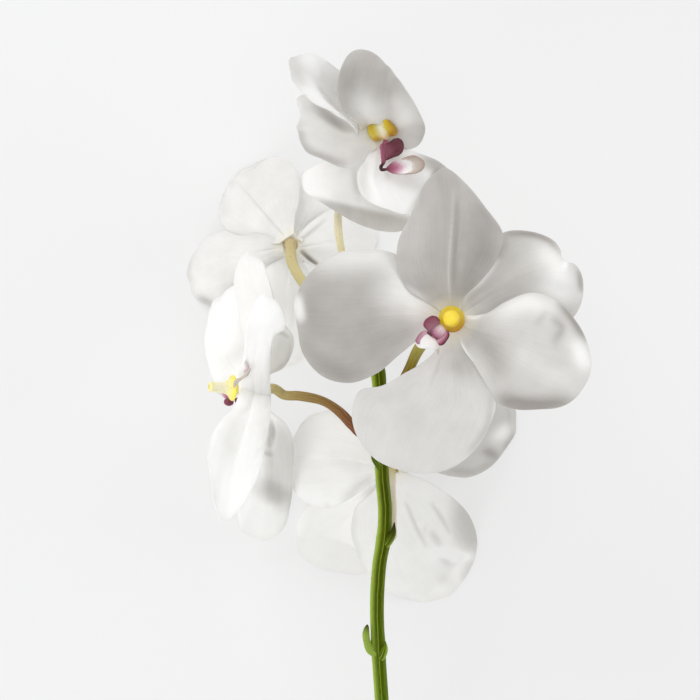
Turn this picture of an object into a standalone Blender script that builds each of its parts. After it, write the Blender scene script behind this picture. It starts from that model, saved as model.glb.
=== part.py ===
"""Cut spray of a white vanda orchid, laid down on a level surface.

Metres, +Z up.  The stem runs along Y with its flowering end at +Y, the face of the
foremost bloom looks up, and the surface that the spray lies on is Z = 0.  Each stem,
petal, sepal, lip and column is an object of its own.
"""
from dataclasses import dataclass

import bpy
import numpy as np

MM = 0.001

# The spray as seen from straight above: a place is given as pixels across and down the
# photograph's 700 pixel frame, with its height over the surface in millimetres.
FRAME_MIDDLE_PX = 350.0
MM_PER_PX = 0.35
EYE_OVER_STEM = 1200.0
STEM_LEVEL = 55.0
MIDDLE_X = 11.0
MIDDLE_Y = -60.0

# Real sizes in millimetres
STEM_RADIUS = 2.45
PEDICEL_RADIUS = 1.7
HEAD_RADIUS = 2.5
TEPAL_THICKNESS = 0.8
CLAW_REACH = 3.1
CLAW_HALF_WIDTH = 1.7
SEAT_GAP = 0.3
COLLAR_RADIUS = 3.4
COLLAR_LENGTH = 1.2
NECK_RADIUS = 2.1
COLUMN_LENGTH = 10.6
FLARE_RADIUS = 4.4
LIP_THICKNESS = 1.0
BRACT_RADIUS = 1.5
BRACT_TAPER = (1.0, 0.95, 0.8, 0.55, 0.2)
STUB_TAPER = (1.2, 1.15, 0.85, 0.9, 0.6)
LIP_STALK_RADII = (0.7, 0.9, 1.3, 1.4, 0.9)
TAKE_OFF = 2.5
APPROACH = 6.0
HEAD_STEP = 0.2

# Times that the directions in which a slab gets its thickness are evened out
NORMAL_PASSES = 6

# Share of a tepal's outline that each of its sides takes
SHOULDER = 0.36

# How finely the solids are faceted
BLADE_ROWS = 8
BLADE_COLUMNS = 10
LOBE_ROWS = 3
LOBE_COLUMNS = 6
STEM_SIDES = 10
STEM_RINGS = 40
BRACT_SIDES = 6
STUB_SIDES = 8
PEDICEL_SIDES = 8
LIP_STALK_SIDES = 8
PEDICEL_RINGS = 16
COLUMN_SIDES = 14
SHARP_ANGLE = 0.9


@dataclass(frozen=True)
class Tepal:
    """One petal or sepal: its rim from one side of its claw round to the other.

    rim holds (across px, down px, height mm), counter-clockwise as seen from above.
    layer is how far the claw sits along the bloom's face, and belly how far the middle
    of the blade bulges, both in millimetres.
    """
    name: str
    layer: float
    belly: float
    rim: tuple


@dataclass(frozen=True)
class Bloom:
    """One bloom: the place of its heart, where it faces, its pedicel's route and tepals.

    lip points from the heart along the lip's stalk, and lip_face along its tongue, which
    is the bloom's own face where none is given.  rise and lip_rise lift the column and
    the lip off the heart, in millimetres; column_width and lip_size are scales.
    """
    name: str
    heart: tuple
    face: tuple
    lip: tuple
    pedicel: tuple
    tepals: tuple
    lip_face: tuple = None
    lip_size: float = 1.0
    lip_rise: float = 0.0
    rise: float = 0.0
    column_width: float = 1.0


TOP_BLOOM = Bloom(
    name="top",
    heart=(368, 134, 63),
    face=(0.60, 0.13, 0.79),
    lip=(0.10, -0.88, 0.45),
    lip_face=(0.94, -0.05, 0.20),
    lip_size=1.15,
    lip_rise=5.5,
    rise=0.6,
    column_width=0.78,
    pedicel=((349, 275, 56.5), (341, 248, 56.5), (339, 218, 54), (346, 180, 49), (357, 150, 49)),
    tepals=(
        Tepal("petal_a", 1.0, -5.5, (
            (403, 148, 62), (418, 147, 65), (425, 129, 70), (417, 108, 75), (403, 86, 80),
            (388, 66, 85), (369, 51, 88), (352, 55, 89), (341, 70, 88), (337, 88, 85),
            (342, 108, 81), (356, 119, 75))),
        Tepal("dorsal_sepal", 0.0, -2.0, (
            (352, 101, 72), (343, 76, 78), (330, 63, 83), (314, 53, 87), (299, 55, 89),
            (288, 60, 90), (291, 70, 91), (300, 86, 90), (309, 100, 88), (330, 111, 84),
            (348, 121, 76))),
        Tepal("petal_b", -1.2, -2.0, (
            (350, 121, 66), (322, 104, 70), (303, 95, 77), (295, 102, 82), (299, 118, 83),
            (298, 135, 83), (305, 148, 82), (322, 158, 80), (345, 167, 76), (362, 166, 73))),
        Tepal("lateral_sepal_a", -2.6, 3.0, (
            (344, 152, 60), (318, 164, 61), (303, 176, 62), (304, 190, 62), (318, 200, 62),
            (335, 211, 61), (358, 224, 60), (382, 231, 58), (406, 229, 57), (420, 212, 57),
            (418, 190, 56), (404, 168, 56))),
        Tepal("lateral_sepal_b", -1.2, -1.0, (
            (364, 166, 67), (358, 186, 70), (372, 203, 73), (393, 212, 74), (415, 216, 74),
            (438, 206, 71), (452, 188, 68), (450, 172, 66), (438, 161, 65), (425, 154, 64),
            (408, 150, 62))),
    ))

FRONT_BLOOM = Bloom(
    name="front",
    heart=(452, 320, 84),
    face=(-0.13, 0.09, 0.99),
    lip=(-0.72, -0.69, 0.0),
    pedicel=((395, 400, 62), (405, 371, 64), (423, 343, 69), (444, 325, 75)),
    tepals=(
        Tepal("petal_a", 0.6, -3.0, (
            (478, 283, 88), (498, 257, 91), (503, 234, 93), (484, 204, 97), (462, 180, 99),
            (443, 168, 100), (427, 181, 99), (411, 215, 95), (397, 243, 92), (396, 266, 90),
            (407, 286, 87))),
        Tepal("dorsal_sepal", -0.6, -2.0, (
            (542, 320, 83), (573, 318, 86), (584, 296, 88), (582, 272, 89), (568, 251, 89),
            (553, 239, 89), (530, 232, 88), (505, 232, 87), (484, 248, 85), (468, 276, 84))),
        Tepal("petal_b", 0.6, -3.0, (
            (468, 360, 87), (487, 392, 91), (510, 409, 94), (537, 409, 96), (562, 407, 97),
            (581, 393, 97), (591, 370, 97), (587, 342, 96), (572, 316, 94), (552, 298, 91),
            (535, 293, 89), (503, 303, 87))),
        Tepal("lateral_sepal_a", -0.6, -3.0, (
            (423, 276, 84), (395, 254, 87), (362, 249, 91), (332, 255, 94), (308, 275, 96),
            (294, 304, 97), (297, 328, 97), (304, 356, 96), (322, 376, 94), (350, 383, 91),
            (377, 373, 88), (400, 354, 85), (421, 338, 83))),
        Tepal("lateral_sepal_b", -0.6, -3.0, (
            (431, 357, 83), (410, 370, 85), (381, 386, 88), (358, 393, 90), (352, 412, 91),
            (360, 442, 92), (378, 461, 93), (408, 472, 93), (440, 472, 93), (467, 458, 92),
            (488, 430, 91), (496, 400, 89), (486, 376, 86), (470, 358, 83))),
    ))

REAR_BLOOM = Bloom(
    name="rear",
    heart=(291, 245, 35),
    face=(0.0, 0.0, -1.0),
    lip=(0.9, -0.43, 0.0),
    lip_size=0.75,
    lip_rise=4.5,
    rise=4.5,
    pedicel=((345, 318, 57), (318, 300, 58), (301, 281, 56), (293, 258, 50)),
    tepals=(
        Tepal("petal_a", -0.6, 4.0, (
            (294, 222, 31), (299, 195, 22), (298, 168, 12), (283, 156, 5), (260, 159, -1),
            (240, 169, -3), (226, 190, -2), (218, 213, 4), (230, 224, 14), (258, 233, 28))),
        Tepal("petal_b", 0.6, 4.0, (
            (258, 238, 24), (238, 233, 13), (216, 233, 6), (200, 245, 1), (190, 265, -2),
            (188, 280, -2), (195, 297, 0), (213, 308, 4), (232, 302, 9), (244, 288, 14))),
        Tepal("lateral_sepal_a", 0.6, 4.0, (
            (268, 273, 25), (256, 296, 15), (250, 318, 8), (252, 342, 2), (264, 360, -1),
            (285, 366, -2), (303, 358, -1), (316, 338, 3), (320, 310, 9), (315, 285, 18),
            (301, 266, 27))),
        Tepal("lateral_sepal_b", -0.6, 4.0, (
            (314, 262, 28), (335, 272, 19), (358, 272, 10), (374, 258, 2), (378, 238, -2),
            (372, 218, -2), (358, 206, 3), (338, 208, 13), (320, 217, 21), (305, 232, 30))),
        Tepal("dorsal_sepal", 1.3, 1.0, (
            (310, 236, 20), (330, 222, 9), (340, 203, 1), (337, 185, -2), (322, 172, -3),
            (304, 172, -2), (294, 185, 4), (291, 205, 14), (290, 226, 25))),
    ))

SIDE_BLOOM = Bloom(
    name="side",
    heart=(255, 389, 52),
    face=(-0.93, 0.0, 0.36),
    lip=(0.0, -0.42, -0.90),
    pedicel=((357, 436, 56), (343, 417, 55), (325, 402, 53), (300, 396, 50), (283, 392, 47)),
    lip_size=0.75,
    lip_rise=4.0,
    rise=4.5,
    tepals=(
        Tepal("dorsal_sepal", -0.6, 3.0, (
            (270, 374, 50), (283, 368, 52), (293, 352, 55), (293, 338, 60), (284, 322, 66),
            (276, 303, 71), (269, 283, 73), (262, 264, 72), (250, 253, 66), (240, 257, 56),
            (235, 270, 46), (235, 288, 38), (240, 312, 36), (246, 340, 42))),
        Tepal("petal_a", 0.6, 0.0, (
            (248, 335, 32), (240, 308, 27), (226, 291, 20), (215, 298, 16), (208, 320, 16),
            (206, 345, 20), (208, 365, 27), (213, 380, 34), (230, 392, 42))),
        Tepal("petal_b", 0.6, 3.0, (
            (266, 372, 66), (272, 352, 77), (280, 332, 86), (284, 316, 91),
            (278, 304, 93), (269, 296, 92), (258, 298, 88), (250, 312, 83), (246, 335, 76),
            (246, 355, 68), (250, 374, 61))),
        Tepal("lateral_sepal_a", -0.6, 3.0, (
            (238, 406, 66), (222, 418, 76), (213, 435, 82), (209, 455, 86), (213, 478, 90),
            (214, 500, 91), (222, 520, 90), (240, 512, 88), (250, 490, 84), (260, 465, 78),
            (264, 440, 70), (260, 415, 62))),
        Tepal("lateral_sepal_b", 0.6, 3.0, (
            (246, 440, 40), (240, 480, 26), (238, 515, 16), (246, 536, 10), (265, 540, 8),
            (282, 530, 10), (290, 505, 16), (293, 470, 26), (294, 440, 36), (285, 420, 44),
            (270, 413, 50))),
    ))

LOWER_BLOOM = Bloom(
    name="lower",
    heart=(390, 468, 27),
    face=(0.0, 0.0, -1.0),
    lip=(-0.9, 0.0, 0.0),
    lip_size=0.75,
    lip_rise=3.0,
    rise=3.0,
    pedicel=((398, 527, 51), (396, 505, 50), (393, 484, 45)),
    tepals=(
        Tepal("petal_a", -0.6, 3.5, (
            (373, 492, 23), (356, 506, 20.5), (351, 526, 17), (357, 553, 11), (372, 578, 7),
            (397, 597, 3), (425, 601, -1), (452, 592, -3), (470, 570, -3), (477, 545, -1),
            (470, 517, 5), (452, 497, 11), (430, 483, 17), (407, 478, 22))),
        Tepal("dorsal_sepal", 0.6, -1.0, (
            (350, 491, 13), (322, 499, 7), (302, 513, 4), (297, 530, 1), (300, 552, -2),
            (315, 566, -4), (343, 573, -4), (368, 569, -2), (376, 545, 2), (380, 517, 8))),
        Tepal("petal_b", -0.6, 3.5, (
            (365, 428, 24), (345, 412, 22), (325, 411, 19), (305, 420, 16), (293, 438, 13),
            (288, 462, 12), (291, 485, 12), (305, 503, 13), (328, 508, 17), (352, 497, 21))),
        Tepal("lateral_sepal_a", 0.6, 3.0, (
            (420, 446, 20), (428, 422, 11), (422, 402, 3), (405, 391, -2), (382, 391, -2),
            (362, 402, 3), (357, 422, 11), (366, 445, 20))),
        Tepal("lateral_sepal_b", -0.6, 3.5, (
            (425, 470, 21), (450, 476, 15), (470, 477, 10), (490, 468, 6), (505, 450, 2),
            (514, 430, -2), (515, 408, -2), (500, 393, 0), (475, 392, 8), (448, 408, 15),
            (428, 432, 21))),
    ))

BLOOMS = (TOP_BLOOM, FRONT_BLOOM, REAR_BLOOM, SIDE_BLOOM, LOWER_BLOOM)

# The column's outline over its foot: share of its length, share of its widest radius
COLUMN_PROFILE = ((0.28, 0.48), (0.33, 0.92), (0.39, 1.0), (0.48, 0.86), (0.63, 0.58),
                  (0.80, 0.54), (0.91, 0.66), (1.0, 0.46))

# Lobes of a lip in millimetres outward, sideways and forward from the heart: the two ends
# of each lobe's base, then its rim.  The two ears aren't quite alike.
LIP_LOBES = (
    ("ear_a", ((5.4, -0.3, 1.9), (8.4, -0.3, 2.6)),
     ((4.8, -2.4, 3.1), (5.0, -4.6, 5.0), (6.2, -5.8, 6.8), (8.0, -5.2, 7.0), (9.0, -2.6, 4.8))),
    ("ear_b", ((8.1, 0.4, 2.3), (5.1, 0.3, 1.7)),
     ((8.8, 2.7, 4.6), (7.8, 5.1, 6.9), (6.0, 5.6, 6.6), (4.8, 4.4, 4.8), (4.6, 2.3, 2.9))),
    ("tongue", ((9.7, -0.8, 3.3), (9.9, 1.0, 3.1)),
     ((10.4, -2.9, 6.1), (10.8, -3.7, 9.7), (11.2, -2.8, 13.4), (11.0, 0.1, 15.6),
      (11.2, 3.0, 13.3), (10.8, 3.9, 9.5), (10.4, 3.1, 5.9))))
LIP_STALK = ((2.9, 0, 1.3), (5.0, 0.05, 1.6), (7.2, -0.05, 2.2), (9.2, 0.1, 3.1), (10.6, 0, 4.6))

# The stem from its flowering tip down to its cut end, and the places on it that carry
# a pedicel: down px for each bloom
STEM_ROUTE = (
    (364, 305, 56), (371, 340, 56.5), (378, 372, 57), (380, 420, 57), (382.5, 480, 55.5),
    (385, 510, 54.5), (383.5, 540, 53), (380, 560, 51.5), (378, 580, 49.5), (377, 605, 47),
    (378, 640, 43), (381.5, 696, 35.5), (386, 760, 26), (391, 830, 15.5), (396, 900, 5.5),
    (399, 955, 2.1))
BRACTS = (
    ((384, 546, 53), (389, 541, 55), (393, 533, 56), (394.5, 522, 56)),
    ((382, 470, 56), (377, 464, 58.5), (373, 458, 60), (371, 452, 60)),
    ((379, 660, 41), (382.5, 655, 43), (385, 648, 45), (385.5, 641, 46)))
STUB = ((377, 653, 42), (371, 650, 43), (367, 642, 44.5), (366, 633, 46), (367, 626, 47))
PEDICEL_SEAT_PX = {"top": 305, "front": 420, "rear": 335, "side": 452, "lower": 540}


def unit(vector):
    """The vector at length one."""
    vector = np.asarray(vector, float)
    return vector / np.linalg.norm(vector)


def spot(place):
    """Millimetres along X, Y and Z of a place seen from above: pixels, pixels, height."""
    across, down, height = place
    scale = MM_PER_PX * (EYE_OVER_STEM - (height - STEM_LEVEL)) / EYE_OVER_STEM
    return np.array([
        (across - FRAME_MIDDLE_PX) * scale - MIDDLE_X,
        (FRAME_MIDDLE_PX - down) * scale - MIDDLE_Y,
        height])


def smooth_curve(points, count, start=0.0, end=1.0):
    """A cubic through the points, read at even steps between two shares of its length."""
    points = np.asarray(points, float)
    along = np.concatenate([[0.0], np.cumsum(np.linalg.norm(np.diff(points, axis=0), axis=1))])
    slope = np.gradient(points, along, axis=0)
    at = np.linspace(start * along[-1], end * along[-1], count)
    i = np.clip(np.searchsorted(along, at, side="right") - 1, 0, len(along) - 2)
    step = (along[i + 1] - along[i])[:, None]
    x = (at - along[i])[:, None] / step
    return ((2 * x**3 - 3 * x**2 + 1) * points[i] + (x**3 - 2 * x**2 + x) * step * slope[i]
            + (3 * x**2 - 2 * x**3) * points[i + 1] + (x**3 - x**2) * step * slope[i + 1])


def blade_grid(tepal, heart, face):
    """Middle surface of a tepal, filled in between its claw, its two sides and its tip.

    The sides take the first and last share of the outline's length.  Lines from side to
    side and from claw to tip are added, and the straight-sided patch between the four
    corners is taken away, so that all four edges are met.  The belly then lifts the
    middle.
    """
    rim = np.array([spot(place) for place in tepal.rim])
    middle = rim.mean(axis=0)
    outward = unit(middle - heart - face * np.dot(middle - heart, face))
    side = CLAW_HALF_WIDTH * np.cross(face, outward)
    if np.dot(side, rim[-1] - rim[0]) < 0:
        side = -side
    claw = heart + face * tepal.layer + outward * CLAW_REACH
    ring = np.concatenate([[claw - side], rim, [claw + side]])
    left = smooth_curve(ring, BLADE_ROWS + 1, 0.0, SHOULDER)[:, None]
    right = smooth_curve(ring, BLADE_ROWS + 1, 1.0, 1.0 - SHOULDER)[:, None]
    tip = smooth_curve(ring, BLADE_COLUMNS + 1, SHOULDER, 1.0 - SHOULDER)[None]
    foot = np.linspace(ring[0], ring[-1], BLADE_COLUMNS + 1)[None]
    u = np.linspace(0.0, 1.0, BLADE_ROWS + 1)[:, None, None]
    v = np.linspace(0.0, 1.0, BLADE_COLUMNS + 1)[None, :, None]
    corners = ((1 - u) * ((1 - v) * foot[:, :1] + v * foot[:, -1:])
               + u * ((1 - v) * tip[:, :1] + v * tip[:, -1:]))
    grid = (1 - u) * foot + u * tip + (1 - v) * left + v * right - corners
    up = unit(np.cross(middle - heart, rim[-1] - rim[0]))
    return grid + up * tepal.belly * 16 * u * (1 - u) * v * (1 - v)


def slab(grid, thickness):
    """Points and triangles of a closed slab round a grid of middle points.

    Both faces are split along the same diagonals, and nothing reaches under Z = 0: what
    would is laid flat on the surface.
    """
    rows, columns = grid.shape[:2]
    along = np.gradient(grid, axis=0)
    across = np.gradient(grid, axis=1)
    normal = np.cross(along, across)
    normal /= np.linalg.norm(normal, axis=2)[..., None]
    for _ in range(NORMAL_PASSES):
        padded = np.pad(normal, ((1, 1), (1, 1), (0, 0)), mode="edge")
        normal = (padded[:-2, 1:-1] + padded[2:, 1:-1] + padded[1:-1, :-2] + padded[1:-1, 2:]
                  + 2 * normal)
        normal /= np.linalg.norm(normal, axis=2)[..., None]
    top = grid + normal * thickness / 2
    bottom = grid - normal * thickness / 2
    if normal[..., 2].mean() > 0:
        bottom[..., 2] = np.maximum(bottom[..., 2], 0.0)
        top[..., 2] = np.maximum(top[..., 2], thickness)
    else:
        top[..., 2] = np.maximum(top[..., 2], 0.0)
        bottom[..., 2] = np.maximum(bottom[..., 2], thickness)
    points = np.concatenate([top.reshape(-1, 3), bottom.reshape(-1, 3)])
    under = rows * columns
    index = np.arange(under).reshape(rows, columns)
    a, b = index[:-1, :-1].ravel(), index[1:, :-1].ravel()
    c, d = index[1:, 1:].ravel(), index[:-1, 1:].ravel()
    upper = np.concatenate([np.stack([a, b, c], 1), np.stack([a, c, d], 1)])
    edge = np.concatenate([index[:, 0], index[-1, 1:], index[-2::-1, -1], index[0, -2:0:-1]])
    after = np.roll(edge, -1)
    walls = np.concatenate([
        np.stack([edge, edge + under, after + under], 1),
        np.stack([edge, after + under, after], 1)])
    return points, np.concatenate([upper, upper[:, ::-1] + under, walls])


def tube(path, radii, sides):
    """Points and triangles of a closed tube with flat ends, round a path of points."""
    path = np.asarray(path, float)
    radii = np.broadcast_to(np.asarray(radii, float), len(path))
    ahead = np.gradient(path, axis=0)
    ahead /= np.linalg.norm(ahead, axis=1)[:, None]
    frames = []
    first = np.cross(ahead[0], [0.0, 0.0, 1.0])
    if np.linalg.norm(first) < 0.1:
        first = np.cross(ahead[0], [1.0, 0.0, 0.0])
    first = unit(first)
    for direction in ahead:
        first = unit(first - direction * np.dot(first, direction))
        frames.append((first, np.cross(direction, first)))
    turn = np.linspace(0.0, 2 * np.pi, sides, endpoint=False)
    rings = [centre + radius * (np.cos(turn)[:, None] * one + np.sin(turn)[:, None] * two)
             for centre, radius, (one, two) in zip(path, radii, frames)]
    points = np.concatenate(rings + [path[:1], path[-1:]])
    count = len(path)
    index = np.arange(count * sides).reshape(count, sides)
    after = np.roll(index, -1, axis=1)
    walls = np.concatenate([
        np.stack([index[:-1].ravel(), after[:-1].ravel(), after[1:].ravel()], 1),
        np.stack([index[:-1].ravel(), after[1:].ravel(), index[1:].ravel()], 1)])
    start, end = count * sides, count * sides + 1
    caps = np.concatenate([
        np.stack([after[0], index[0], np.full(sides, start)], 1),
        np.stack([index[-1], after[-1], np.full(sides, end)], 1)])
    return points, np.concatenate([walls, caps])


def laid(shape):
    """The shape with all that would reach under Z = 0 laid flat on the surface."""
    points, triangles = shape
    points[:, 2] = np.maximum(points[:, 2], 0.0)
    return points, triangles


def stem_route():
    """The stem's middle line as points from its tip to its cut end."""
    return smooth_curve([spot(place) for place in STEM_ROUTE], STEM_RINGS)


def make_object(name, shape, material):
    """A Blender object from points in millimetres and triangles, faces pointing out."""
    points, triangles = shape
    corner = points[triangles]
    volume = np.einsum("ij,ij->i", corner[:, 0], np.cross(corner[:, 1], corner[:, 2])).sum()
    if volume < 0:
        triangles = triangles[:, ::-1]
    mesh = bpy.data.meshes.new(name)
    mesh.from_pydata((points * MM).tolist(), [], triangles.tolist())
    mesh.materials.append(material)
    mesh.shade_smooth()
    mesh.set_sharp_from_angle(angle=SHARP_ANGLE)
    obj = bpy.data.objects.new(name, mesh)
    bpy.context.collection.objects.link(obj)
    return obj


def make_material(name, colour, roughness):
    """A Principled material of one colour."""
    material = bpy.data.materials.new(name)
    material.use_nodes = True
    shader = material.node_tree.nodes["Principled BSDF"]
    shader.inputs["Base Color"].default_value = (*colour, 1.0)
    shader.inputs["Roughness"].default_value = roughness
    shader.inputs["Metallic"].default_value = 0.0
    return material


def join_solids(solids):
    """Unite the first solid with the others, which are then removed."""
    body = solids[0]
    group = bpy.data.collections.new("joined")
    for other in solids[1:]:
        group.objects.link(other)
    union = body.modifiers.new("union", "BOOLEAN")
    union.operation = "UNION"
    union.operand_type = "COLLECTION"
    union.solver = "EXACT"
    union.collection = group
    depsgraph = bpy.context.evaluated_depsgraph_get()
    mesh = bpy.data.meshes.new_from_object(body.evaluated_get(depsgraph))
    body.modifiers.clear()
    body.data = mesh
    for other in solids[1:]:
        bpy.data.objects.remove(other)
    bpy.data.collections.remove(group)
    return body


def seat_on_stem(towards, down_px):
    """Points where a pedicel starts beside the stem: on its skin, and straight out."""
    route = stem_route()
    seat = np.argmin(abs(route[:, 1] - spot((0, down_px, STEM_LEVEL))[1]))
    along = unit(route[min(seat + 1, STEM_RINGS - 1)] - route[max(seat - 1, 0)])
    out = towards - route[seat]
    if seat > 0:
        out = unit(out - along * np.dot(out, along))
        return [route[seat] + out * (STEM_RADIUS + SEAT_GAP + more) for more in (0.0, TAKE_OFF)]
    return [route[0] - along * (SEAT_GAP + more) for more in (0.0, TAKE_OFF)]


def build_stem(green):
    """The stem with its bracts and the stub of a fallen bloom, in one solid."""
    route = stem_route()
    radii = np.full(STEM_RINGS, STEM_RADIUS)
    radii[0] = PEDICEL_RADIUS
    solids = [make_object("stem", laid(tube(route, radii, STEM_SIDES)), green)]
    for number, bract in enumerate(BRACTS):
        path = smooth_curve([spot(place) for place in bract], len(BRACT_TAPER))
        shape = tube(path, BRACT_RADIUS * np.array(BRACT_TAPER), BRACT_SIDES)
        solids.append(make_object(f"bract_{number}", shape, green))
    path = smooth_curve([spot(place) for place in STUB], len(STUB_TAPER))
    shape = tube(path, BRACT_RADIUS * np.array(STUB_TAPER), STUB_SIDES)
    solids.append(make_object("stub", shape, green))
    return join_solids(solids)


def build_tepals(bloom, heart, face, white):
    """The five petals and sepals of one bloom."""
    for tepal in bloom.tepals:
        shape = slab(blade_grid(tepal, heart, face), TEPAL_THICKNESS)
        make_object(f"{bloom.name}_{tepal.name}", shape, white)


def build_column(bloom, heart, face, yellow):
    """The column: a foot, a flared skirt and a narrower cap with a rolled end."""
    profile = [(SEAT_GAP, bloom.column_width * NECK_RADIUS)]
    profile += [(share * COLUMN_LENGTH + bloom.rise, width * bloom.column_width * FLARE_RADIUS)
                for share, width in COLUMN_PROFILE]
    path = [heart + face * along for along, radius in profile]
    make_object(f"{bloom.name}_column",
                tube(path, [radius for along, radius in profile], COLUMN_SIDES), yellow)


def build_lip(bloom, heart, face, purple):
    """The lip: a stalk under the column, two ears beside it and a forward tongue."""
    ahead = unit(bloom.lip_face or bloom.face)
    out = unit(bloom.lip)
    out = unit(out - ahead * np.dot(out, ahead))
    side = np.cross(ahead, out)
    foot = heart + face * bloom.lip_rise

    def local(places):
        return [foot + bloom.lip_size * (o * out + s * side + n * ahead) for o, s, n in places]

    stalk = tube(local(LIP_STALK), bloom.lip_size * np.array(LIP_STALK_RADII), LIP_STALK_SIDES)
    solids = [make_object(f"{bloom.name}_lip", stalk, purple)]
    for name, base, rim in LIP_LOBES:
        claw = np.linspace(*local(base), LOBE_COLUMNS + 1)
        edge = smooth_curve(local(rim), LOBE_COLUMNS + 1)
        u = np.linspace(0.0, 1.0, LOBE_ROWS + 1)[:, None, None]
        solids.append(make_object(f"{bloom.name}_{name}",
                                  slab(claw * (1 - u) + edge * u, LIP_THICKNESS), purple))
    return join_solids(solids)


def build_pedicel(bloom, heart, face, tan):
    """The pedicel from the stem to the back of a bloom, with the collar behind its claws."""
    way = [spot(place) for place in bloom.pedicel]
    back = max(-tepal.layer for tepal in bloom.tepals) + TEPAL_THICKNESS / 2 + SEAT_GAP
    ends = [heart - face * (back + more)
            for more in (APPROACH, 2.0 * COLLAR_LENGTH, COLLAR_LENGTH)]
    path = smooth_curve(seat_on_stem(way[0], PEDICEL_SEAT_PX[bloom.name]) + way + ends,
                        PEDICEL_RINGS)
    radii = np.full(PEDICEL_RINGS, PEDICEL_RADIUS)
    radii[-2:] = 0.5 * (PEDICEL_RADIUS + HEAD_RADIUS), COLLAR_RADIUS
    path = np.concatenate([path, [heart - face * back, heart - face * (back - HEAD_STEP), heart]])
    radii = np.concatenate([radii, [COLLAR_RADIUS, HEAD_RADIUS, HEAD_RADIUS]])
    make_object(f"{bloom.name}_pedicel", tube(path, radii, PEDICEL_SIDES), tan)


def build_bloom(bloom, white, yellow, purple, tan):
    """Tepals, column, lip and pedicel of one bloom."""
    heart, face = spot(bloom.heart), unit(bloom.face)
    build_tepals(bloom, heart, face, white)
    build_column(bloom, heart, face, yellow)
    build_lip(bloom, heart, face, purple)
    build_pedicel(bloom, heart, face, tan)


def main():
    """Clear the scene and build the spray."""
    for old in list(bpy.data.objects):
        bpy.data.objects.remove(old)
    white = make_material("petal_white", (0.86, 0.85, 0.82), 0.5)
    yellow = make_material("column_yellow", (0.80, 0.60, 0.05), 0.45)
    purple = make_material("lip_purple", (0.25, 0.07, 0.14), 0.5)
    green = make_material("stem_green", (0.17, 0.25, 0.02), 0.5)
    tan = make_material("pedicel_tan", (0.35, 0.28, 0.08), 0.5)
    build_stem(green)
    for bloom in BLOOMS:
        build_bloom(bloom, white, yellow, purple, tan)


main()
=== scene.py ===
"""Looks of a cut spray of a white vanda orchid: five blooms on one green stem, laid down.

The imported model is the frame.  Each of its solids is replaced by a finer piece of the same
form, in the same place: tepals with their ribs, folds and waved rims, columns, lips,
pedicels, and the stem with its bracts.  Lengths are millimetres until a mesh is made.
"""

import logging
from dataclasses import dataclass
from enum import Enum

import bpy
import numpy as np
from mathutils import Matrix


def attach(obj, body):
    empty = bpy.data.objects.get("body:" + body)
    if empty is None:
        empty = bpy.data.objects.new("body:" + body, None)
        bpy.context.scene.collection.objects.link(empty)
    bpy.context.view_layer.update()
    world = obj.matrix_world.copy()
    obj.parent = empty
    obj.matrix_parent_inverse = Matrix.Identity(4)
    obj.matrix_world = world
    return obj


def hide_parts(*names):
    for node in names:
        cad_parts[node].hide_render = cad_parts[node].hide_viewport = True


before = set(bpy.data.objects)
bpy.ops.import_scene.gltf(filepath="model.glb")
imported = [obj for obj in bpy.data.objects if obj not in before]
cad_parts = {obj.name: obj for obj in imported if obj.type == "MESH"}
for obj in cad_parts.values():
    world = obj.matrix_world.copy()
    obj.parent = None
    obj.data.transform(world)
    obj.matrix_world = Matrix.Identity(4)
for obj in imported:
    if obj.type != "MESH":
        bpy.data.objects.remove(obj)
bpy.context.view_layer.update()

LOG = logging.getLogger("orchid")
MM = 0.001
FULL_TURN = 2 * np.pi
# Cosine of the angle under which two directions count as one.
NEARLY_ALONG = 0.95

Pair = tuple[float, float]
Place = tuple[float, float, float]
Colour = tuple[float, float, float, float]
Stops = tuple[tuple[float, str], ...]
Points = np.ndarray | tuple | list
Output = bpy.types.NodeSocket


class Slot(Enum):
    """Names of material slots."""

    PETAL = "petal"
    COLUMN = "column"
    LIP = "lip"
    STEM = "stem"
    PEDICEL = "pedicel"


class Detail(Enum):
    """How finely each kind of surface is drawn: rows along it, columns across it."""

    BLADE = (84, 72)
    LOBE = (28, 36)
    COLUMN = (64, 56)
    PEDICEL = (90, 28)
    STEM = (520, 40)
    STALK = (26, 18)


def linear(code: str) -> Colour:
    """Turn a six-digit sRGB hex colour into linear red, green, blue and a full alpha."""
    share = np.array([int(code[at:at + 2], 16) for at in (0, 2, 4)]) / 255.0
    curve = np.where(share <= 0.04045, share / 12.92, ((share + 0.055) / 1.055) ** 2.4)
    return (*(float(x) for x in curve), 1.0)


def unit(vector: Points) -> np.ndarray:
    """Vectors along the last axis at length one."""
    vector = np.asarray(vector, float)
    return vector / np.maximum(np.linalg.norm(vector, axis=-1, keepdims=True), 1e-9)


def shares(rows: int, columns: int) -> tuple[np.ndarray, np.ndarray]:
    """How far along and how far across each point of a grid lies, from 0 to 1."""
    u, v = np.meshgrid(np.linspace(0.0, 1.0, rows), np.linspace(0.0, 1.0, columns), indexing="ij")
    return u, v


def bulge(u: np.ndarray, v: np.ndarray) -> np.ndarray:
    """Height of a dome that is 1 in a blade's middle and 0 at its edges: 16 u (1 - u) v (1 - v)."""
    return 16 * u * (1 - u) * v * (1 - v)


def nearness(u: np.ndarray, v: np.ndarray) -> np.ndarray:
    """How close to a blade's rim each point lies: the larger of |2 v - 1|^3 and u^3."""
    return np.maximum(np.abs(2 * v - 1) ** 3, u ** 3)


def bell(distance: np.ndarray, width: float) -> np.ndarray:
    """Bell curve that is 1 at distance 0: exp(-(distance / width)^2)."""
    return np.exp(-(distance / width) ** 2)


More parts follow.
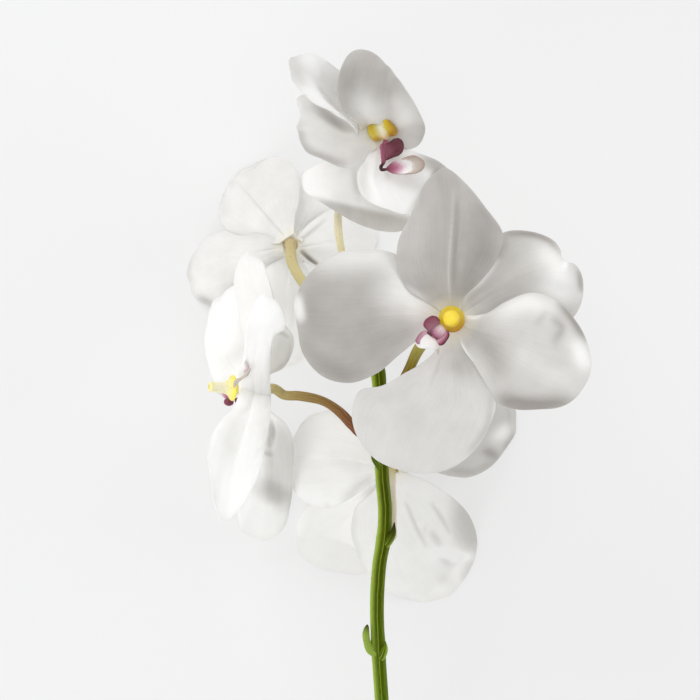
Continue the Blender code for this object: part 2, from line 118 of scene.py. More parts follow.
def smooth_curve(points: Points, count: int, start: float = 0.0, end: float = 1.0) -> np.ndarray:
    """Read a cubic through the points at even steps between two shares of its length.

    Formula: between two points the curve is the cubic Hermite blend of both, with slopes
    from central differences over the length of the chords.

    Args:
        points: (n, k) values that the curve passes through.
        count: how many values to read.
        start: share of the length where the reading starts.
        end: share of the length where the reading ends.

    Returns:
        (count, k) values.
    """
    points = np.asarray(points, float)
    along = np.concatenate([[0.0], np.cumsum(np.linalg.norm(np.diff(points, axis=0), axis=1))])
    slope = np.gradient(points, along, axis=0)
    at = np.linspace(start * along[-1], end * along[-1], count)
    i = np.clip(np.searchsorted(along, at, side="right") - 1, 0, len(along) - 2)
    step = (along[i + 1] - along[i])[:, None]
    x = (at - along[i])[:, None] / step
    return ((2 * x**3 - 3 * x**2 + 1) * points[i] + (x**3 - 2 * x**2 + x) * step * slope[i]
            + (3 * x**2 - 2 * x**3) * points[i + 1] + (x**3 - x**2) * step * slope[i + 1])


def coons_patch(ring: np.ndarray, shoulder: float, detail: Detail) -> np.ndarray:
    """Fill a closed outline with a smooth sheet of points.

    Formula: lines from side to side plus lines from foot to tip, less the straight-sided
    patch between the four corners, so that all four edges are met.

    Args:
        ring: (n, 3) outline from one end of the foot round the tip to the other end.
        shoulder: share of the outline's length that each side takes.
        detail: rows and columns of the sheet.

    Returns:
        (rows, columns, 3) points, foot first.
    """
    rows, columns = detail.value
    left = smooth_curve(ring, rows, 0.0, shoulder)[:, None]
    right = smooth_curve(ring, rows, 1.0, 1.0 - shoulder)[:, None]
    tip = smooth_curve(ring, columns, shoulder, 1.0 - shoulder)[None]
    foot = np.linspace(ring[0], ring[-1], columns)[None]
    u, v = (share[..., None] for share in shares(rows, columns))
    corners = ((1 - u) * ((1 - v) * foot[:, :1] + v * foot[:, -1:])
               + u * ((1 - v) * tip[:, :1] + v * tip[:, -1:]))
    return (1 - u) * foot + u * tip + (1 - v) * left + v * right - corners


def evened(grid: np.ndarray, passes: int, keep_rim: bool) -> np.ndarray:
    """Even out a (rows, columns, k) grid of values.

    Formula: each pass replaces a value by a third of itself plus a sixth of each of its
    four neighbours.

    Args:
        grid: the values.
        passes: how many times.
        keep_rim: whether the outermost values stay.

    Returns:
        The evened grid.
    """
    rim = grid.copy()
    for _ in range(passes):
        padded = np.pad(grid, ((1, 1), (1, 1), (0, 0)), mode="edge")
        grid = (padded[:-2, 1:-1] + padded[2:, 1:-1] + padded[1:-1, :-2] + padded[1:-1, 2:]
                + 2 * grid) / 6.0
        if keep_rim:
            grid[0], grid[-1], grid[:, 0], grid[:, -1] = rim[0], rim[-1], rim[:, 0], rim[:, -1]
    return grid


def grid_normals(grid: np.ndarray) -> np.ndarray:
    """Directions across a grid of points: the cross product of its two gradients."""
    return unit(np.cross(np.gradient(grid, axis=0), np.gradient(grid, axis=1)))


def swell(x: np.ndarray, y: np.ndarray, seed: int, waves: int, count: int = 7) -> np.ndarray:
    """Smooth seeded unevenness between about -1 and 1.

    Formula: the mean of `count` sine waves, each with its own direction, phase and a
    wavelength near 1 / waves of the unit square, times 1.6.

    Args:
        x: first coordinate, 0 to 1.
        y: second coordinate, 0 to 1.
        seed: picks the waves.
        waves: about how many waves fit across.
        count: how many sine waves are mixed.

    Returns:
        One value for each place.
    """
    draw = np.random.default_rng(seed)
    turn = draw.uniform(0, FULL_TURN, count)
    phase = draw.uniform(0, FULL_TURN, count)
    pace = FULL_TURN * waves * draw.uniform(0.5, 1.3, count)
    total = sum(np.sin(p * (x * np.cos(t) + y * np.sin(t)) + f) for p, t, f in zip(pace, turn, phase))
    return 1.6 * total / count


def put(name: str, data: bpy.types.ID) -> bpy.types.Object:
    """Put a mesh, a light or a camera into the scene as an object at the origin."""
    thing = bpy.data.objects.new(name, data)
    bpy.context.scene.collection.objects.link(thing)
    return thing


@dataclass(frozen=True)
class Viewpoint:
    """The camera straight above the spray, which ties the photograph's pixels to sizes.

    A place is given as pixels across and down a 700 pixel frame, with its height over the
    surface in millimetres.
    """

    frame_px: float = 700.0
    mm_per_px: float = 0.35
    eye_over_stem: float = 1200.0
    stem_level: float = 55.0
    middle_x: float = 11.0
    middle_y: float = -60.0
    sensor_mm: float = 36.0
    nearest_m: float = 0.01
    farthest_m: float = 10.0

    def scale(self, height: np.ndarray) -> np.ndarray:
        """Millimetres that one pixel spans at a height over the surface."""
        return self.mm_per_px * (self.eye_over_stem + self.stem_level - height) / self.eye_over_stem

    def spots(self, places: Points) -> np.ndarray:
        """Millimetres along X, Y and Z of (..., 3) places: pixels, pixels, height."""
        across, down, height = np.moveaxis(np.asarray(places, float), -1, 0)
        scale, middle = self.scale(height), self.frame_px / 2
        return np.stack([(across - middle) * scale - self.middle_x,
                         (middle - down) * scale - self.middle_y, height], axis=-1)

    def seen(self, points: np.ndarray) -> np.ndarray:
        """Pixels across and down at which (..., 3) points in millimetres are seen."""
        x, y, height = np.moveaxis(points, -1, 0)
        scale, middle = self.scale(height), self.frame_px / 2
        return np.stack([(x + self.middle_x) / scale + middle,
                         middle - (y + self.middle_y) / scale], axis=-1)

    def make_camera(self) -> bpy.types.Object:
        """A camera straight above the spray that takes in the photograph's frame."""
        data = bpy.data.cameras.new("camera")
        data.sensor_width = self.sensor_mm
        data.lens = self.sensor_mm * self.eye_over_stem / (self.frame_px * self.mm_per_px)
        data.clip_start, data.clip_end = self.nearest_m, self.farthest_m
        camera = put("camera", data)
        camera.location = (-self.middle_x * MM, -self.middle_y * MM,
                           (self.eye_over_stem + self.stem_level) * MM)
        bpy.context.scene.camera = camera
        return camera


VIEW = Viewpoint()


@dataclass
class Shell:
    """A closed surface: points in millimetres, faces, and the values its finish reads.

    The values are how far along and across a point lies, its rim and its tint, 0 to 1.
    """

    points: np.ndarray
    quads: np.ndarray
    triangles: np.ndarray
    values: dict[str, np.ndarray]

    def turned_out(self) -> "Shell":
        """The shell with its faces pointing outwards, by the sign of its volume."""
        a, b, c, d = (self.points[self.quads[:, k]] for k in range(4))
        if np.einsum("ij,ij->i", a, np.cross(b, c) + np.cross(c, d)).sum() < 0:
            return Shell(self.points, self.quads[:, ::-1], self.triangles[:, ::-1], self.values)
        return self

    @staticmethod
    def joined(shells: list["Shell"]) -> "Shell":
        """Several shells as one piece."""
        starts = np.cumsum([0] + [len(shell.points) for shell in shells[:-1]])
        return Shell(
            np.concatenate([shell.points for shell in shells]),
            np.concatenate([shell.quads + start for shell, start in zip(shells, starts)]),
            np.concatenate([shell.triangles + start for shell, start in zip(shells, starts)]),
            {name: np.concatenate([shell.values[name] for shell in shells])
             for name in shells[0].values})

    def to_piece(self, name: str, slot: Slot, material: bpy.types.Material,
                 sharp: float = 0.9) -> bpy.types.Object:
        """Make the shell a Blender object that stands for the CAD node of the same name.

        Args:
            name: the piece's name, and the node's.
            slot: not used.
            material: its finish.
            sharp: edges that turn by more than this, in radians, are drawn sharp.

        Returns:
            The object, riding on the root body.
        """
        mesh = bpy.data.meshes.new(name)
        mesh.from_pydata((self.points * MM).tolist(), [], self.quads.tolist() + self.triangles.tolist())
        corner = np.empty(len(mesh.loops), np.int32)
        mesh.loops.foreach_get("vertex_index", corner)
        flat = np.stack([self.values["across"], self.values["along"]], axis=1)[corner]
        mesh.uv_layers.new(name="surface").data.foreach_set("uv", flat.astype(np.float32).ravel())
        for key, value in self.values.items():
            layer = mesh.attributes.new(key, "FLOAT", "POINT")
            layer.data.foreach_set("value", value.astype(np.float32))
        mesh.materials.append(material)
        mesh.shade_smooth()
        mesh.set_sharp_from_angle(angle=sharp)
        piece = put(name, mesh)
        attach(piece, "root")
        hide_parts(name)
        LOG.info("%s: %d points, %d faces", name, len(mesh.vertices), len(mesh.polygons))
        return piece


def slab(grid: np.ndarray, thickness: np.ndarray, passes: int, rim: np.ndarray,
         tint: np.ndarray) -> Shell:
    """Close a sheet of middle points into a thin slab with both faces and a wall.

    Formula: each middle point is moved by plus and minus half the thickness along the
    evened normal.  Nothing reaches under Z = 0: what would is laid flat on the surface.

    Args:
        grid: (rows, columns, 3) middle points.
        thickness: (rows, columns) thickness.
        passes: times that the normals are evened out.
        rim: (rows, columns) rim value for the finish.
        tint: (rows, columns) tint value for the finish.

    Returns:
        The closed slab.
    """
    rows, columns = grid.shape[:2]
    normal = unit(evened(grid_normals(grid), passes, keep_rim=False))
    half = normal * thickness[..., None] / 2 * (1.0 if normal[..., 2].mean() > 0 else -1.0)
    top, bottom = grid + half, grid - half
    bottom[..., 2] = np.maximum(bottom[..., 2], 0.0)
    top[..., 2] = np.maximum(top[..., 2], thickness)
    count = rows * columns
    index = np.arange(count).reshape(rows, columns)
    upper = np.stack([index[:-1, :-1], index[1:, :-1], index[1:, 1:], index[:-1, 1:]], -1)
    upper = upper.reshape(-1, 4)
    edge = np.concatenate([index[:, 0], index[-1, 1:], index[-2::-1, -1], index[0, -2:0:-1]])
    after = np.roll(edge, -1)
    walls = np.stack([edge, edge + count, after + count, after], 1)
    values = dict(zip(("along", "across", "rim", "tint"), (*shares(rows, columns), rim, tint)))
    return Shell(np.concatenate([top.reshape(-1, 3), bottom.reshape(-1, 3)]),
                 np.concatenate([upper, upper[:, ::-1] + count, walls]), np.empty((0, 3), int),
                 {key: np.tile(value.ravel(), 2) for key, value in values.items()}).turned_out()


def tube(path: np.ndarray, radii: np.ndarray, along: np.ndarray, tint: np.ndarray,
         first_side: Points = (0.0, 0.0, 1.0)) -> Shell:
    """Carry a round profile along a path and close both ends with a pole.

    Formula: ring i lies round path[i] in the plane across the path, at radii[i, j] and
    angle 2 pi j / sides from a side direction that is carried along without twist.
    Nothing reaches under Z = 0: what would is laid flat on the surface.

    Args:
        path: (n, 3) middle line.
        radii: (n, sides) distance of each point from the middle line.
        along: (n,) how far along each ring lies, for the finish.
        tint: (n,) or (n, sides) tint value for the finish.
        first_side: direction of angle 0 at the start.

    Returns:
        The closed tube.
    """
    count, sides = radii.shape
    ahead = unit(np.gradient(path, axis=0))
    side = np.asarray(first_side, float)
    if abs(np.dot(side, ahead[0])) > NEARLY_ALONG:
        side = np.array([1.0, 0.0, 0.0])
    sides_along = np.empty_like(path)
    for i, direction in enumerate(ahead):
        side = unit(side - direction * np.dot(side, direction))
        sides_along[i] = side
    other = np.cross(ahead, sides_along)
    across = np.arange(sides) / sides
    turn = (FULL_TURN * across)[None, :, None]
    rings = path[:, None] + radii[..., None] * (np.cos(turn) * sides_along[:, None]
                                                + np.sin(turn) * other[:, None])
    index = np.arange(count * sides).reshape(count, sides)
    after = np.roll(index, -1, axis=1)
    quads = np.stack([index[:-1], after[:-1], after[1:], index[1:]], -1).reshape(-1, 4)
    start, end = count * sides, count * sides + 1
    caps = np.concatenate([np.stack([after[0], index[0], np.full(sides, start)], 1),
                           np.stack([index[-1], after[-1], np.full(sides, end)], 1)])
    points = np.concatenate([rings.reshape(-1, 3), path[:1], path[-1:]])
    points[:, 2] = np.maximum(points[:, 2], 0.0)
    tint = tint if tint.ndim == 2 else tint[:, None]
    values = {"along": along[:, None], "across": across[None], "rim": np.zeros((1, 1)), "tint": tint}
    full = {key: np.broadcast_to(value, (count, sides)) for key, value in values.items()}
    return Shell(points, quads, caps, {key: np.concatenate([value.ravel(), value[0, :1], value[-1, :1]])
                                       for key, value in full.items()}).turned_out()


def feed(tree: bpy.types.NodeTree, node: bpy.types.Node, inputs: dict[str | int, object]) -> None:
    """Fill a node's inputs, by name or number: an output is linked, any other value is set."""
    for key, value in inputs.items():
        if isinstance(value, Output):
            tree.links.new(value, node.inputs[key])
        else:
            node.inputs[key].default_value = value


def add(tree: bpy.types.NodeTree, kind: str, inputs: dict[str | int, object], out: str | int = 0,
        stops: Stops = (), **settings: object) -> Output:
    """Add a node to a material.

    Args:
        tree: the material's node tree.
        kind: the node's type without "ShaderNode", such as "Math".
        inputs: the value of each input, or the output that feeds it.
        out: name or number of the output to return.
        stops: place from 0 to 1 and sRGB hex colour of each stop, where it is a ramp.
        settings: the node's own properties.

    Returns:
        The output.
    """
    node = tree.nodes.new("ShaderNode" + kind)
    for key, value in settings.items():
        setattr(node, key, value)
    if stops:
        band = node.color_ramp.elements
        while len(band) < len(stops):
            band.new(0.5)
        for element, (place, code) in zip(band, stops):
            element.position, element.color = place, linear(code)
    feed(tree, node, inputs)
    return node.outputs[out]


def banded(tree: bpy.types.NodeTree, value: Output, noise: Output, spread: float, stops: Stops) -> Output:
    """Colours in a row along a value, with soft uneven borders.

    Args:
        tree: the material's node tree.
        value: the output that picks the colour, 0 to 1.
        noise: the output that shifts it.
        spread: how far it is shifted over the noise's whole range.
        stops: place and sRGB hex colour of each stop.

    Returns:
        The colour.
    """
    shift = add(tree, "Math", {0: noise, 1: spread, 2: -spread / 2}, operation="MULTIPLY_ADD")
    read = add(tree, "Math", {0: value, 1: shift}, operation="ADD")
    return add(tree, "ValToRGB", {"Fac": read}, stops=stops)


def new_material(name: str) -> tuple[bpy.types.Material, bpy.types.NodeTree, bpy.types.Node]:
    """A material with only a Principled shader, and its tree and shader."""
    material = bpy.data.materials.new(name)
    material.use_nodes = True
    return material, material.node_tree, material.node_tree.nodes["Principled BSDF"]


@dataclass(frozen=True)
class PetalFinish:
    """Living petal skin: a thin waxy film over pale cells, so light sinks in and spreads.

    It gives the eye a soft matt white with faint veins that fan out from the claw, painted shade
    that greys the skin, a slightly warm claw, and a thin darker line at the rim.
    """

    name: str = "petal_waxy_white"
    body: str = "fcfbf8"
    # deep: the grey towards which painted shade mixes the body.
    deep: str = "9b9793"
    rim: str = "a8a19a"
    rim_power: float = 6.0
    rim_depth: float = 0.2
    claw: str = "f3eedb"
    claw_share: float = 0.14
    claw_depth: float = 0.7
    vein_count: float = 26.0
    vein_depth: float = 0.035
    vein_wander: float = 0.05
    streak_pace: Place = (48.0, 3.5, 1.0)
    streak_depth: float = 0.09
    mottle_mm: float = 6.0
    mottle_depth: float = 0.14
    grain_mm: float = 0.7

    def make(self) -> bpy.types.Material:
        """Build the material: its grey comes from the tint, which on tepals is painted shade, and from
        veins, streaks and mottle.
        """
        material, tree, shader = new_material(self.name)
        place = add(tree, "TexCoord", {}, "Object")
        rim, along, across, tint = (add(tree, "Attribute", {}, "Fac", attribute_name=name)
                                    for name in ("rim", "along", "across", "tint"))
        flat = add(tree, "CombineXYZ", {"X": across, "Y": along})
        drawn_out = add(tree, "VectorMath", {0: flat, 1: self.streak_pace}, operation="MULTIPLY")
        streak = add(tree, "TexNoise", {"Vector": drawn_out, "Scale": 1.0, "Detail": 3.0})
        bend = add(tree, "Math", {0: streak, 1: self.vein_wander, 2: across}, operation="MULTIPLY_ADD")
        turns = add(tree, "Math", {0: bend, 1: FULL_TURN * self.vein_count}, operation="MULTIPLY")
        wave = add(tree, "Math", {0: turns}, operation="COSINE")
        lines = add(tree, "MapRange", {"Value": wave, "From Min": 0.2})
        fade = add(tree, "MapRange", {"Value": along, "From Min": 0.8, "From Max": 0.1})
        veins = add(tree, "Math", {0: lines, 1: fade}, operation="MULTIPLY")
        mottle = add(tree, "TexNoise", {"Vector": place, "Scale": 1 / (self.mottle_mm * MM), "Detail": 4.0})
        # Painted shade: the tint greys the body towards deep; veins, streaks and mottle add their own grey.
        tone = tint
        for part, depth, middle in ((veins, self.vein_depth, 0.0), (streak, self.streak_depth, 0.5),
                                    (mottle, self.mottle_depth, 0.5)):
            level = add(tree, "Math", {0: part, 1: depth, 2: -depth * middle}, operation="MULTIPLY_ADD")
            tone = add(tree, "Math", {0: tone, 1: level}, operation="ADD")
        skin = add(tree, "Mix", {0: tone, 6: linear(self.body), 7: linear(self.deep)}, 2, data_type="RGBA")
        thin = add(tree, "Math", {0: rim, 1: self.rim_power}, operation="POWER")
        edge = add(tree, "Math", {0: thin, 1: self.rim_depth}, operation="MULTIPLY")
        coat = add(tree, "Mix", {0: edge, 6: skin, 7: linear(self.rim)}, 2, data_type="RGBA")
        near = add(tree, "MapRange", {"Value": along, "From Min": self.claw_share, "From Max": 0.0,
                                      "To Max": self.claw_depth})
        colour = add(tree, "Mix", {0: near, 6: coat, 7: linear(self.claw)}, 2, data_type="RGBA")
        grain = add(tree, "TexNoise", {"Vector": place, "Scale": 1 / (self.grain_mm * MM), "Detail": 2.0})
        rough = add(tree, "Math", {0: grain, 1: 0.5, 2: streak}, operation="MULTIPLY_ADD")
        height = add(tree, "Math", {0: rough, 1: veins}, operation="ADD")
        bump = add(tree, "Bump", {"Height": height, "Strength": 0.14, "Distance": 0.25 * MM})
        feed(tree, shader, {"Base Color": colour, "Normal": bump, "Roughness": 0.5, "IOR": 1.42,
                            "Subsurface Weight": 0.4, "Subsurface Radius": (1.0, 0.96, 0.9),
                            "Subsurface Scale": 2.2 * MM, "Sheen Weight": 0.06, "Sheen Roughness": 0.5})
        return material


@dataclass(frozen=True)
class ColumnFinish:
    """Glossy waxy column of an orchid: smooth tight skin, coloured by growth along it.

    It gives the eye a firm yellow bead with a small highlight, pale where it is narrow; on the
    top column the white band at the waist is a painted highlight.
    """

    name: str
    stops: Stops
    # brown: real brown on the lip's side, and on the front column the colour of painted shade.
    brown: str = "d2a04a"
    freckle_mm: float = 1.1

    def make(self) -> bpy.types.Material:
        """Build the material: colour by place along the column, with brown by tint, which on the front
        column is painted shade, and freckles.
        """
        material, tree, shader = new_material(self.name)
        place = add(tree, "TexCoord", {}, "Object")
        along, tint = (add(tree, "Attribute", {}, "Fac", attribute_name=name) for name in ("along", "tint"))
        freckle = add(tree, "TexNoise", {"Vector": place, "Detail": 3.0,
                                         "Scale": 1 / (self.freckle_mm * MM)})
        bands = banded(tree, along, freckle, 0.07, self.stops)
        dark = add(tree, "MapRange", {"Value": freckle, "From Min": 0.55, "From Max": 0.85, "To Max": 0.35})
        aged = add(tree, "Math", {0: dark, 1: tint}, operation="MAXIMUM")
        colour = add(tree, "Mix", {0: aged, 6: bands, 7: linear(self.brown)}, 2, data_type="RGBA",
                     blend_type="MULTIPLY")
        bump = add(tree, "Bump", {"Height": freckle, "Strength": 0.2, "Distance": 0.2 * MM})
        feed(tree, shader, {"Base Color": colour, "Normal": bump, "Roughness": 0.38, "IOR": 1.45,
                            "Subsurface Weight": 0.2, "Subsurface Radius": (1.0, 0.75, 0.25),
                            "Subsurface Scale": 1.2 * MM})
        return material


@dataclass(frozen=True)
class LipFinish:
    """Velvety lip skin: short cone cells that drink light, so the purple looks deep.

    It gives the eye a dull maroon with a soft lilac bloom, which runs out over pink into
    white along the tongue, with a tan tip and darker rims.
    """

    name: str = "lip_velvet_maroon"
    stops: Stops = ((0.0, "32101a"), (0.2, "773546"), (0.42, "a9607a"), (0.58, "cf9fb2"), (0.7, "ece5e6"),
                    (0.79, "f6f4f2"), (0.84, "d0c6bb"), (1.0, "c8bcae"))
    rim: str = "8d4a60"
    rim_depth: float = 0.6
    streak_mm: float = 0.8

    def make(self) -> bpy.types.Material:
        """Build the material: colour by the tint value, rims darker, fine streaks."""
        material, tree, shader = new_material(self.name)
        place = add(tree, "TexCoord", {}, "Object")
        tint, rim = (add(tree, "Attribute", {}, "Fac", attribute_name=name) for name in ("tint", "rim"))
        streak = add(tree, "TexNoise", {"Vector": place, "Scale": 1 / (self.streak_mm * MM), "Detail": 3.0})
        bands = banded(tree, tint, streak, 0.12, self.stops)
        dark = add(tree, "Math", {0: rim, 1: self.rim_depth}, operation="MULTIPLY")
        colour = add(tree, "Mix", {0: dark, 6: bands, 7: linear(self.rim)}, 2, data_type="RGBA",
                     blend_type="MULTIPLY")
        bump = add(tree, "Bump", {"Height": streak, "Strength": 0.3, "Distance": 0.2 * MM})
        feed(tree, shader, {"Base Color": colour, "Normal": bump, "Roughness": 0.5,
                            "Subsurface Weight": 0.15, "Subsurface Radius": (1.0, 0.5, 0.6),
                            "Subsurface Scale": 0.8 * MM, "Specular IOR Level": 0.35,
                            "Sheen Weight": 0.12, "Sheen Roughness": 0.4})
        return material


@dataclass(frozen=True)
class StalkFinish:
    """Smooth plant stalk: a thin cuticle over green tissue, faintly ribbed lengthwise.

    It gives the eye a satin green that changes along the stalk, with fine pale streaks,
    brown where the tissue is old or bruised, and a painted highlight along the lit side, with a
    fainter painted reflection along the other.
    """

    name: str
    stops: Stops
    dark: str
    roughness: float = 0.42
    streak: str = "cdc08c"
    streaks: float = 9.0
    # The pale colour, at the strength below, is a painted highlight on the lit side and, at 0.4 of it, a
    # painted reflection on the other side.
    pale: str = "aac64c"
    painted_highlight: float = 0.0
    blotch_mm: float = 6.0
    fleck_mm: float = 1.3

    def make(self) -> bpy.types.Material:
        """Build the material: colour along the stalk, streaks round it, brown by tint, and a painted
        highlight on both sides.
        """
        material, tree, shader = new_material(self.name)
        place = add(tree, "TexCoord", {}, "Object")
        along, across, tint = (add(tree, "Attribute", {}, "Fac", attribute_name=name)
                               for name in ("along", "across", "tint"))
        blotch = add(tree, "TexNoise", {"Vector": place, "Scale": 1 / (self.blotch_mm * MM), "Detail": 3.0})
        bands = banded(tree, along, blotch, 0.16, self.stops)
        bend = add(tree, "Math", {0: blotch, 1: 0.25, 2: across}, operation="MULTIPLY_ADD")
        turns = add(tree, "Math", {0: bend, 1: FULL_TURN * self.streaks}, operation="MULTIPLY")
        ribs = add(tree, "Math", {0: turns}, operation="SINE")
        fine = add(tree, "MapRange", {"Value": ribs, "From Min": 0.2, "To Max": 0.16})
        streaked = add(tree, "Mix", {0: fine, 6: bands, 7: linear(self.streak)}, 2, data_type="RGBA")
        # Painted highlight: a quarter turn round is paled where the light falls; three quarters round is
        # faintly paled as a painted reflection.
        full_turn = add(tree, "Math", {0: across, 1: FULL_TURN}, operation="MULTIPLY")
        side = add(tree, "Math", {0: full_turn}, operation="SINE")
        left = add(tree, "MapRange", {"Value": side, "From Min": 0.25, "From Max": 0.9,
                                      "To Max": self.painted_highlight})
        right = add(tree, "MapRange", {"Value": side, "From Min": -0.5, "From Max": -1.0,
                                       "To Max": 0.4 * self.painted_highlight})
        painted_highlights = add(tree, "Math", {0: left, 1: right}, operation="ADD")
        skin = add(tree, "Mix", {0: painted_highlights, 6: streaked, 7: linear(self.pale)}, 2, data_type="RGBA")
        fleck = add(tree, "TexNoise", {"Vector": place, "Scale": 1 / (self.fleck_mm * MM), "Detail": 2.0})
        spots = add(tree, "MapRange", {"Value": fleck, "From Min": 0.6, "From Max": 0.75, "To Max": 0.3})
        aged = add(tree, "Math", {0: spots, 1: tint}, operation="MAXIMUM")
        colour = add(tree, "Mix", {0: aged, 6: skin, 7: linear(self.dark)}, 2, data_type="RGBA")
        height = add(tree, "Math", {0: ribs, 1: 0.5, 2: fleck}, operation="MULTIPLY_ADD")
        bump = add(tree, "Bump", {"Height": height, "Strength": 0.25, "Distance": 0.25 * MM})
        feed(tree, shader, {"Base Color": colour, "Normal": bump, "Roughness": self.roughness,
                            "Specular IOR Level": 0.06, "Subsurface Weight": 0.05,
                            "Subsurface Radius": (0.6, 1.0, 0.2), "Subsurface Scale": 0.8 * MM})
        return material


@dataclass(frozen=True)
class Fold:
    """A soft crease or ridge of a tepal along a line of pixels, with a band of painted shade.

    Its section is a bell curve `width` pixels wide that lifts the blade by `lift`
    millimetres towards the viewer and paints shade on its skin by `tone`, or a highlight
    where that is negative.  The higher `edge` is, the flatter its middle and the crisper its
    edge.  At both ends it is `ends` times as strong.
    """

    line: tuple[Pair, ...]
    width: float
    lift: float = 0.0
    tone: float = 0.0
    edge: float = 2.0
    ends: float = 0.3
    steps: int = 40

    def strength(self, seen: np.ndarray) -> np.ndarray:
        """Strength at (..., 2) pixels: exp(-(distance / width)^edge), running out at the ends."""
        reach = np.linspace(0.0, 1.0, self.steps)
        strength = self.ends + (1 - self.ends) * np.sqrt(np.clip(4 * reach * (1 - reach), 0.0, 1.0))
        away = np.linalg.norm(seen[..., None, :] - smooth_curve(self.line, self.steps), axis=-1)
        return (np.exp(-(away / self.width) ** self.edge) * strength).max(axis=-1)


@dataclass(frozen=True)
class Tepal:
    """One petal or sepal: a blade filled in between its claw and its rim.

    rim holds places counter-clockwise as seen from above, and foot the two ends of the claw
    where it isn't the usual one.  layer is how far the claw sits along the bloom's face and
    belly how far the middle bulges; rib, ripple and uneven are depths of its relief, all in
    millimetres.  side_rib is the depth of the ribs beside the middle one, as a share of it,
    and waves holds how many waves go round the blade and how high each kind is.  tone is
    painted shade: how grey its skin is painted where the tepal lies in shade, 0 to 1.
    """

    name: str
    layer: float
    belly: float
    rim: tuple[Place, ...]
    folds: tuple[Fold, ...] = ()
    tone: float = 0.0
    foot: tuple[Place, Place] | None = None
    rib: float = 0.35
    rib_width: float = 0.07
    side_rib: float = 0.06
    side_ribs: int = 7
    waves: tuple[Pair, ...] = ((5, 1.0), (9, 0.6), (15, 0.35))
    ripple: float = 0.5
    uneven: float = 0.35
    mottle: float = 0.03
    claw_reach: float = 2.7
    claw_half_width: float = 3.0
    shoulder: float = 0.36
    thickness: float = 0.8
    rim_thickness: float = 0.3
    relief_passes: int = 12
    normal_passes: int = 60

    def sheet(self, heart: np.ndarray, face: np.ndarray) -> tuple[np.ndarray, np.ndarray]:
        """Middle surface of the blade, and the direction in which its relief is raised.

        Formula: the patch between claw and rim, plus belly times a dome along the blade's
        own upward direction.

        Args:
            heart: the bloom's centre.
            face: the direction that the bloom faces.

        Returns:
            (rows, columns, 3) points, and a direction.
        """
        rim = VIEW.spots(self.rim)
        middle = rim.mean(axis=0)
        outward = unit(middle - heart - face * np.dot(middle - heart, face))
        side = self.claw_half_width * np.cross(face, outward)
        if np.dot(side, rim[-1] - rim[0]) < 0:
            side = -side
        claw = heart + face * self.layer + outward * self.claw_reach
        ends = VIEW.spots(self.foot) if self.foot else np.array([claw - side, claw + side])
        ring = np.concatenate([ends[:1], rim, ends[1:]])
        grid = evened(coons_patch(ring, self.shoulder, Detail.BLADE), self.relief_passes, keep_rim=True)
        up = unit(np.cross(middle - heart, rim[-1] - rim[0]))
        return grid + up * self.belly * bulge(*shares(*Detail.BLADE.value))[..., None], up

    def relief(self, u: np.ndarray, v: np.ndarray, seed: int) -> np.ndarray:
        """Depth of ribs and waves in millimetres, towards the viewer.

        Formula: a groove along the middle that runs out at the tip, with faint ribs on both
        sides, plus shallow swell, plus waves round the blade that grow towards the rim.
        Each starts from nothing at the claw.

        Args:
            u: how far along the blade each point lies, 0 to 1.
            v: how far across it lies, 0 to 1.
            seed: picks the waves.

        Returns:
            (rows, columns) depths.
        """
        s = 2 * v - 1
        rib = -self.rib * bell(s, self.rib_width) * np.clip(u / 0.1, 0, 1) * (1 - u) ** 0.8
        ribs = self.side_rib * self.rib * np.cos(self.side_ribs * np.pi * s) * (1 - u)
        turn = np.arctan2(s, 1.1 * u - 0.25)
        draw = np.random.default_rng(seed).uniform(0, FULL_TURN, len(self.waves))
        waves = sum(height * np.sin(count * turn + phase)
                    for (count, height), phase in zip(self.waves, draw))
        fine = self.ripple * waves * nearness(u, v) ** 2 * np.clip(u / 0.25, 0, 1)
        broad = self.uneven * (swell(v, u, seed, 2) + 0.25 * swell(v, u, seed + 50, 6))
        return rib + ribs * np.clip(u / 0.15, 0, 1) + fine + broad * np.clip(u / 0.2, 0, 1)

    def build(self, bloom: str, heart: np.ndarray, face: np.ndarray, seed: int,
              material: bpy.types.Material) -> bpy.types.Object:
        """Build and dress the tepal.

        Args:
            bloom: name of its bloom.
            heart: the bloom's centre.
            face: the direction that the bloom faces.
            seed: picks its waves.
            material: its finish.

        Returns:
            The piece.
        """
        grid, up = self.sheet(heart, face)
        u, v = shares(*Detail.BLADE.value)
        depth = self.relief(u, v, seed)
        # The tint is painted shade from the tepal and its folds, or a painted highlight where a fold's
        # value is negative, plus random mottle.
        tint = self.tone + self.mottle * swell(v, u, seed + 20, 3)
        seen = VIEW.seen(grid)
        for fold in self.folds:
            strength = fold.strength(seen)
            depth, tint = depth + fold.lift * strength, tint + fold.tone * strength
        grid = grid + up * (1.0 if up[2] > 0 else -1.0) * depth[..., None]
        thin = np.maximum(np.abs(2 * v - 1), u) ** 5
        shell = slab(grid, self.thickness + (self.rim_thickness - self.thickness) * thin,
                     self.normal_passes, nearness(u, v) ** 2, np.clip(tint, 0.0, 1.0))
        return shell.to_piece(f"{bloom}_{self.name}", Slot.PETAL, material)


